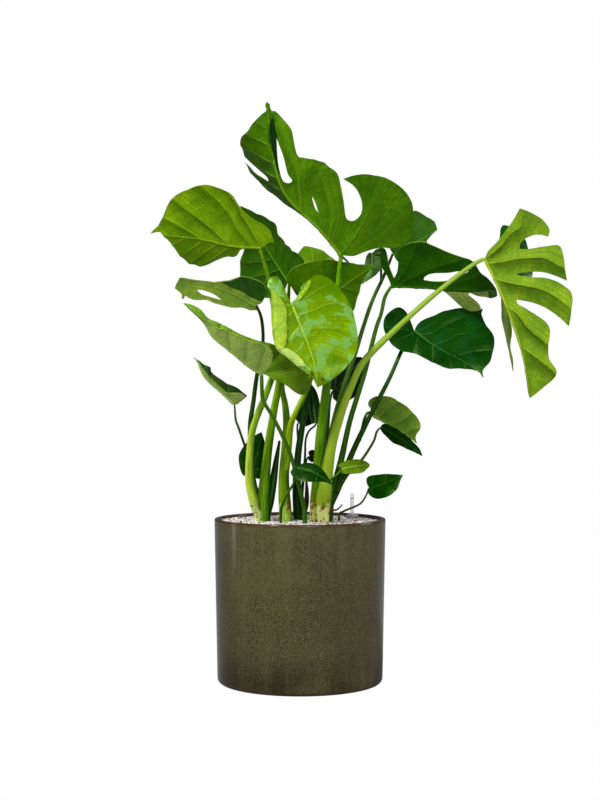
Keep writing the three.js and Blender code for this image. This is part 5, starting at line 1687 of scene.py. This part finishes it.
def make_gauge():
    outer, top = GAUGE_TUBE_RADIUS, GAUGE_TOP
    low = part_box("gauge_tube")[0][2] / MM
    profile = [(0, low), (outer, low), (outer, top - 2)]
    profile += [*arc(0, top - 2.5, outer, 8, 90, 6)[1:-1], (0, top)]
    shape = turned(profile, 32, GAUGE_AT)
    make_plain("gauge_tube_clear", shape, [tube_material()], "gauge_tube")
    outer, foot, rounding = GAUGE_COLLAR_RADIUS, GAUGE_COLLAR_FOOT, GAUGE_COLLAR_ROUND
    top = foot + GAUGE_COLLAR_HEIGHT
    hole = GAUGE_TUBE_RADIUS + GAUGE_COLLAR_CLEAR
    profile = [(hole, foot), (outer - 0.6, foot), (outer, foot + 0.6)]
    profile += arc(outer - rounding, top - rounding, rounding, 0, 90, 5)
    profile += [(hole + 0.5, top), (hole, top - 0.5)]
    shape = ring_turned(profile, 48, GAUGE_AT)
    grey = plain_material("grey_plastic", (150, 154, 160), (128, 132, 138), 0.45)
    make_plain("gauge_collar_grey", shape, [grey], "gauge_collar")
    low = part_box("gauge_float")[0][2] / MM
    outer, top = GAUGE_FLOAT_RADIUS, GAUGE_FLOAT_TOP
    profile = [(0, low), (outer * 0.8, low), (outer, low + 0.6)]
    profile += [(outer, top - 1), (outer * 0.8, top), (0, top)]
    shape = turned(profile, 24, GAUGE_AT)
    red = plain_material("red_plastic", (206, 44, 26), (170, 30, 18), 0.35)
    make_plain("gauge_float_red", shape, [red], "gauge_float")


def dress_substrate(node):
    bark = plain_material("potting_mix", (74, 52, 36), (36, 26, 18), 0.9, 160.0)
    for slot in node.material_slots:
        slot.material = bark


def shown_and_lit(tree, shown, lit, surface):
    """Gives a surface one shader for the eye and another for the light that it sends on."""
    ray = tree.nodes.new("ShaderNodeLightPath")
    mixed = tree.nodes.new("ShaderNodeMixShader")
    tree.links.new(ray.outputs["Is Camera Ray"], mixed.inputs[0])
    tree.links.new(lit.outputs[0], mixed.inputs[1])
    tree.links.new(shown.outputs[0], mixed.inputs[2])
    tree.links.new(mixed.outputs[0], surface.inputs["Surface"])


def make_floor():
    """A floor that shows white, as the surround does, and sends little light back up."""
    mesh = bpy.data.meshes.new("floor")
    reach = 30
    corners = [(-reach, -reach, 0), (reach, -reach, 0), (reach, reach, 0), (-reach, reach, 0)]
    mesh.from_pydata(corners, [], [(0, 1, 2, 3)])
    n = Nodes("floor")
    shown = n.node("ShaderNodeEmission", Color=(1, 1, 1, 1))
    lit = n.node("ShaderNodeBsdfDiffuse", Color=(FLOOR_BOUNCE, FLOOR_BOUNCE, FLOOR_BOUNCE, 1))
    shown_and_lit(n.tree, shown, lit, n.tree.nodes["Material Output"])
    mesh.materials.append(n.material)
    floor = bpy.data.objects.new("floor", mesh)
    bpy.context.scene.collection.objects.link(floor)


def make_world():
    """A white surround that lights the plant less than it shows."""
    world = bpy.data.worlds.new("studio")
    world.use_nodes = True
    nodes = world.node_tree.nodes
    shown = nodes["Background"]
    lit = nodes.new("ShaderNodeBackground")
    for background, strength in ((shown, 1.0), (lit, SURROUND)):
        background.inputs["Color"].default_value = (1, 1, 1, 1)
        background.inputs["Strength"].default_value = strength
    shown_and_lit(world.node_tree, shown, lit, nodes["World Output"])
    bpy.context.scene.world = world
    bpy.context.scene.view_settings.view_transform = "Standard"


def add_light(name, light, place, aim):
    lamp = bpy.data.objects.new(name, light)
    lamp.location = place
    lamp.rotation_euler = (Vector(aim) - Vector(place)).to_track_quat("-Z", "Y").to_euler()
    lamp.visible_camera = False
    bpy.context.scene.collection.objects.link(lamp)


def make_lights():
    """Two suns, and a strip and a panel at the sides that shine on the glaze."""
    for name, place, strength, spread in SUNS:
        light = bpy.data.lights.new(name, "SUN")
        light.energy = strength
        light.angle = math.radians(spread)
        add_light(name, light, place, (0, 0, 0))
    for name, place, width, height, power in PANELS:
        light = bpy.data.lights.new(name, "AREA")
        light.shape = "RECTANGLE"
        light.size = width
        light.size_y = height
        light.energy = power
        add_light(name, light, place, (0, 0, place[2]))


def make_camera():
    camera = bpy.data.cameras.new("camera")
    camera.lens = LENS
    camera.sensor_width = 36
    camera.clip_start = 0.1
    camera.clip_end = 50
    eye = bpy.data.objects.new("camera", camera)
    eye.location = (0, -CAMERA_DISTANCE * MM, CAMERA_HEIGHT * MM)
    eye.rotation_euler = (math.radians(90), 0, 0)
    bpy.context.scene.collection.objects.link(eye)
    bpy.context.scene.camera = eye


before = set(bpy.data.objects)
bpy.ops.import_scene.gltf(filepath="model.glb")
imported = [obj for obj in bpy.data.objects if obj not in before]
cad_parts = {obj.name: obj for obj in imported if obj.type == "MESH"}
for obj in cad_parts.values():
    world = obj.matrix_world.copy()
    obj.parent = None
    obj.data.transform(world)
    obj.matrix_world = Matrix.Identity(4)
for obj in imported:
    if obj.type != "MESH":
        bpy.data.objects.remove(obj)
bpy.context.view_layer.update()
make_camera()
make_floor()
make_world()
make_lights()
make_pot()
make_gravel()
make_gauge()
dress_substrate(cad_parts["substrate"])
for clump, keys in CLUMPS.items():
    make_clump(clump, keys)
for leaf_name in LEAVES:
    make_blade(leaf_name)
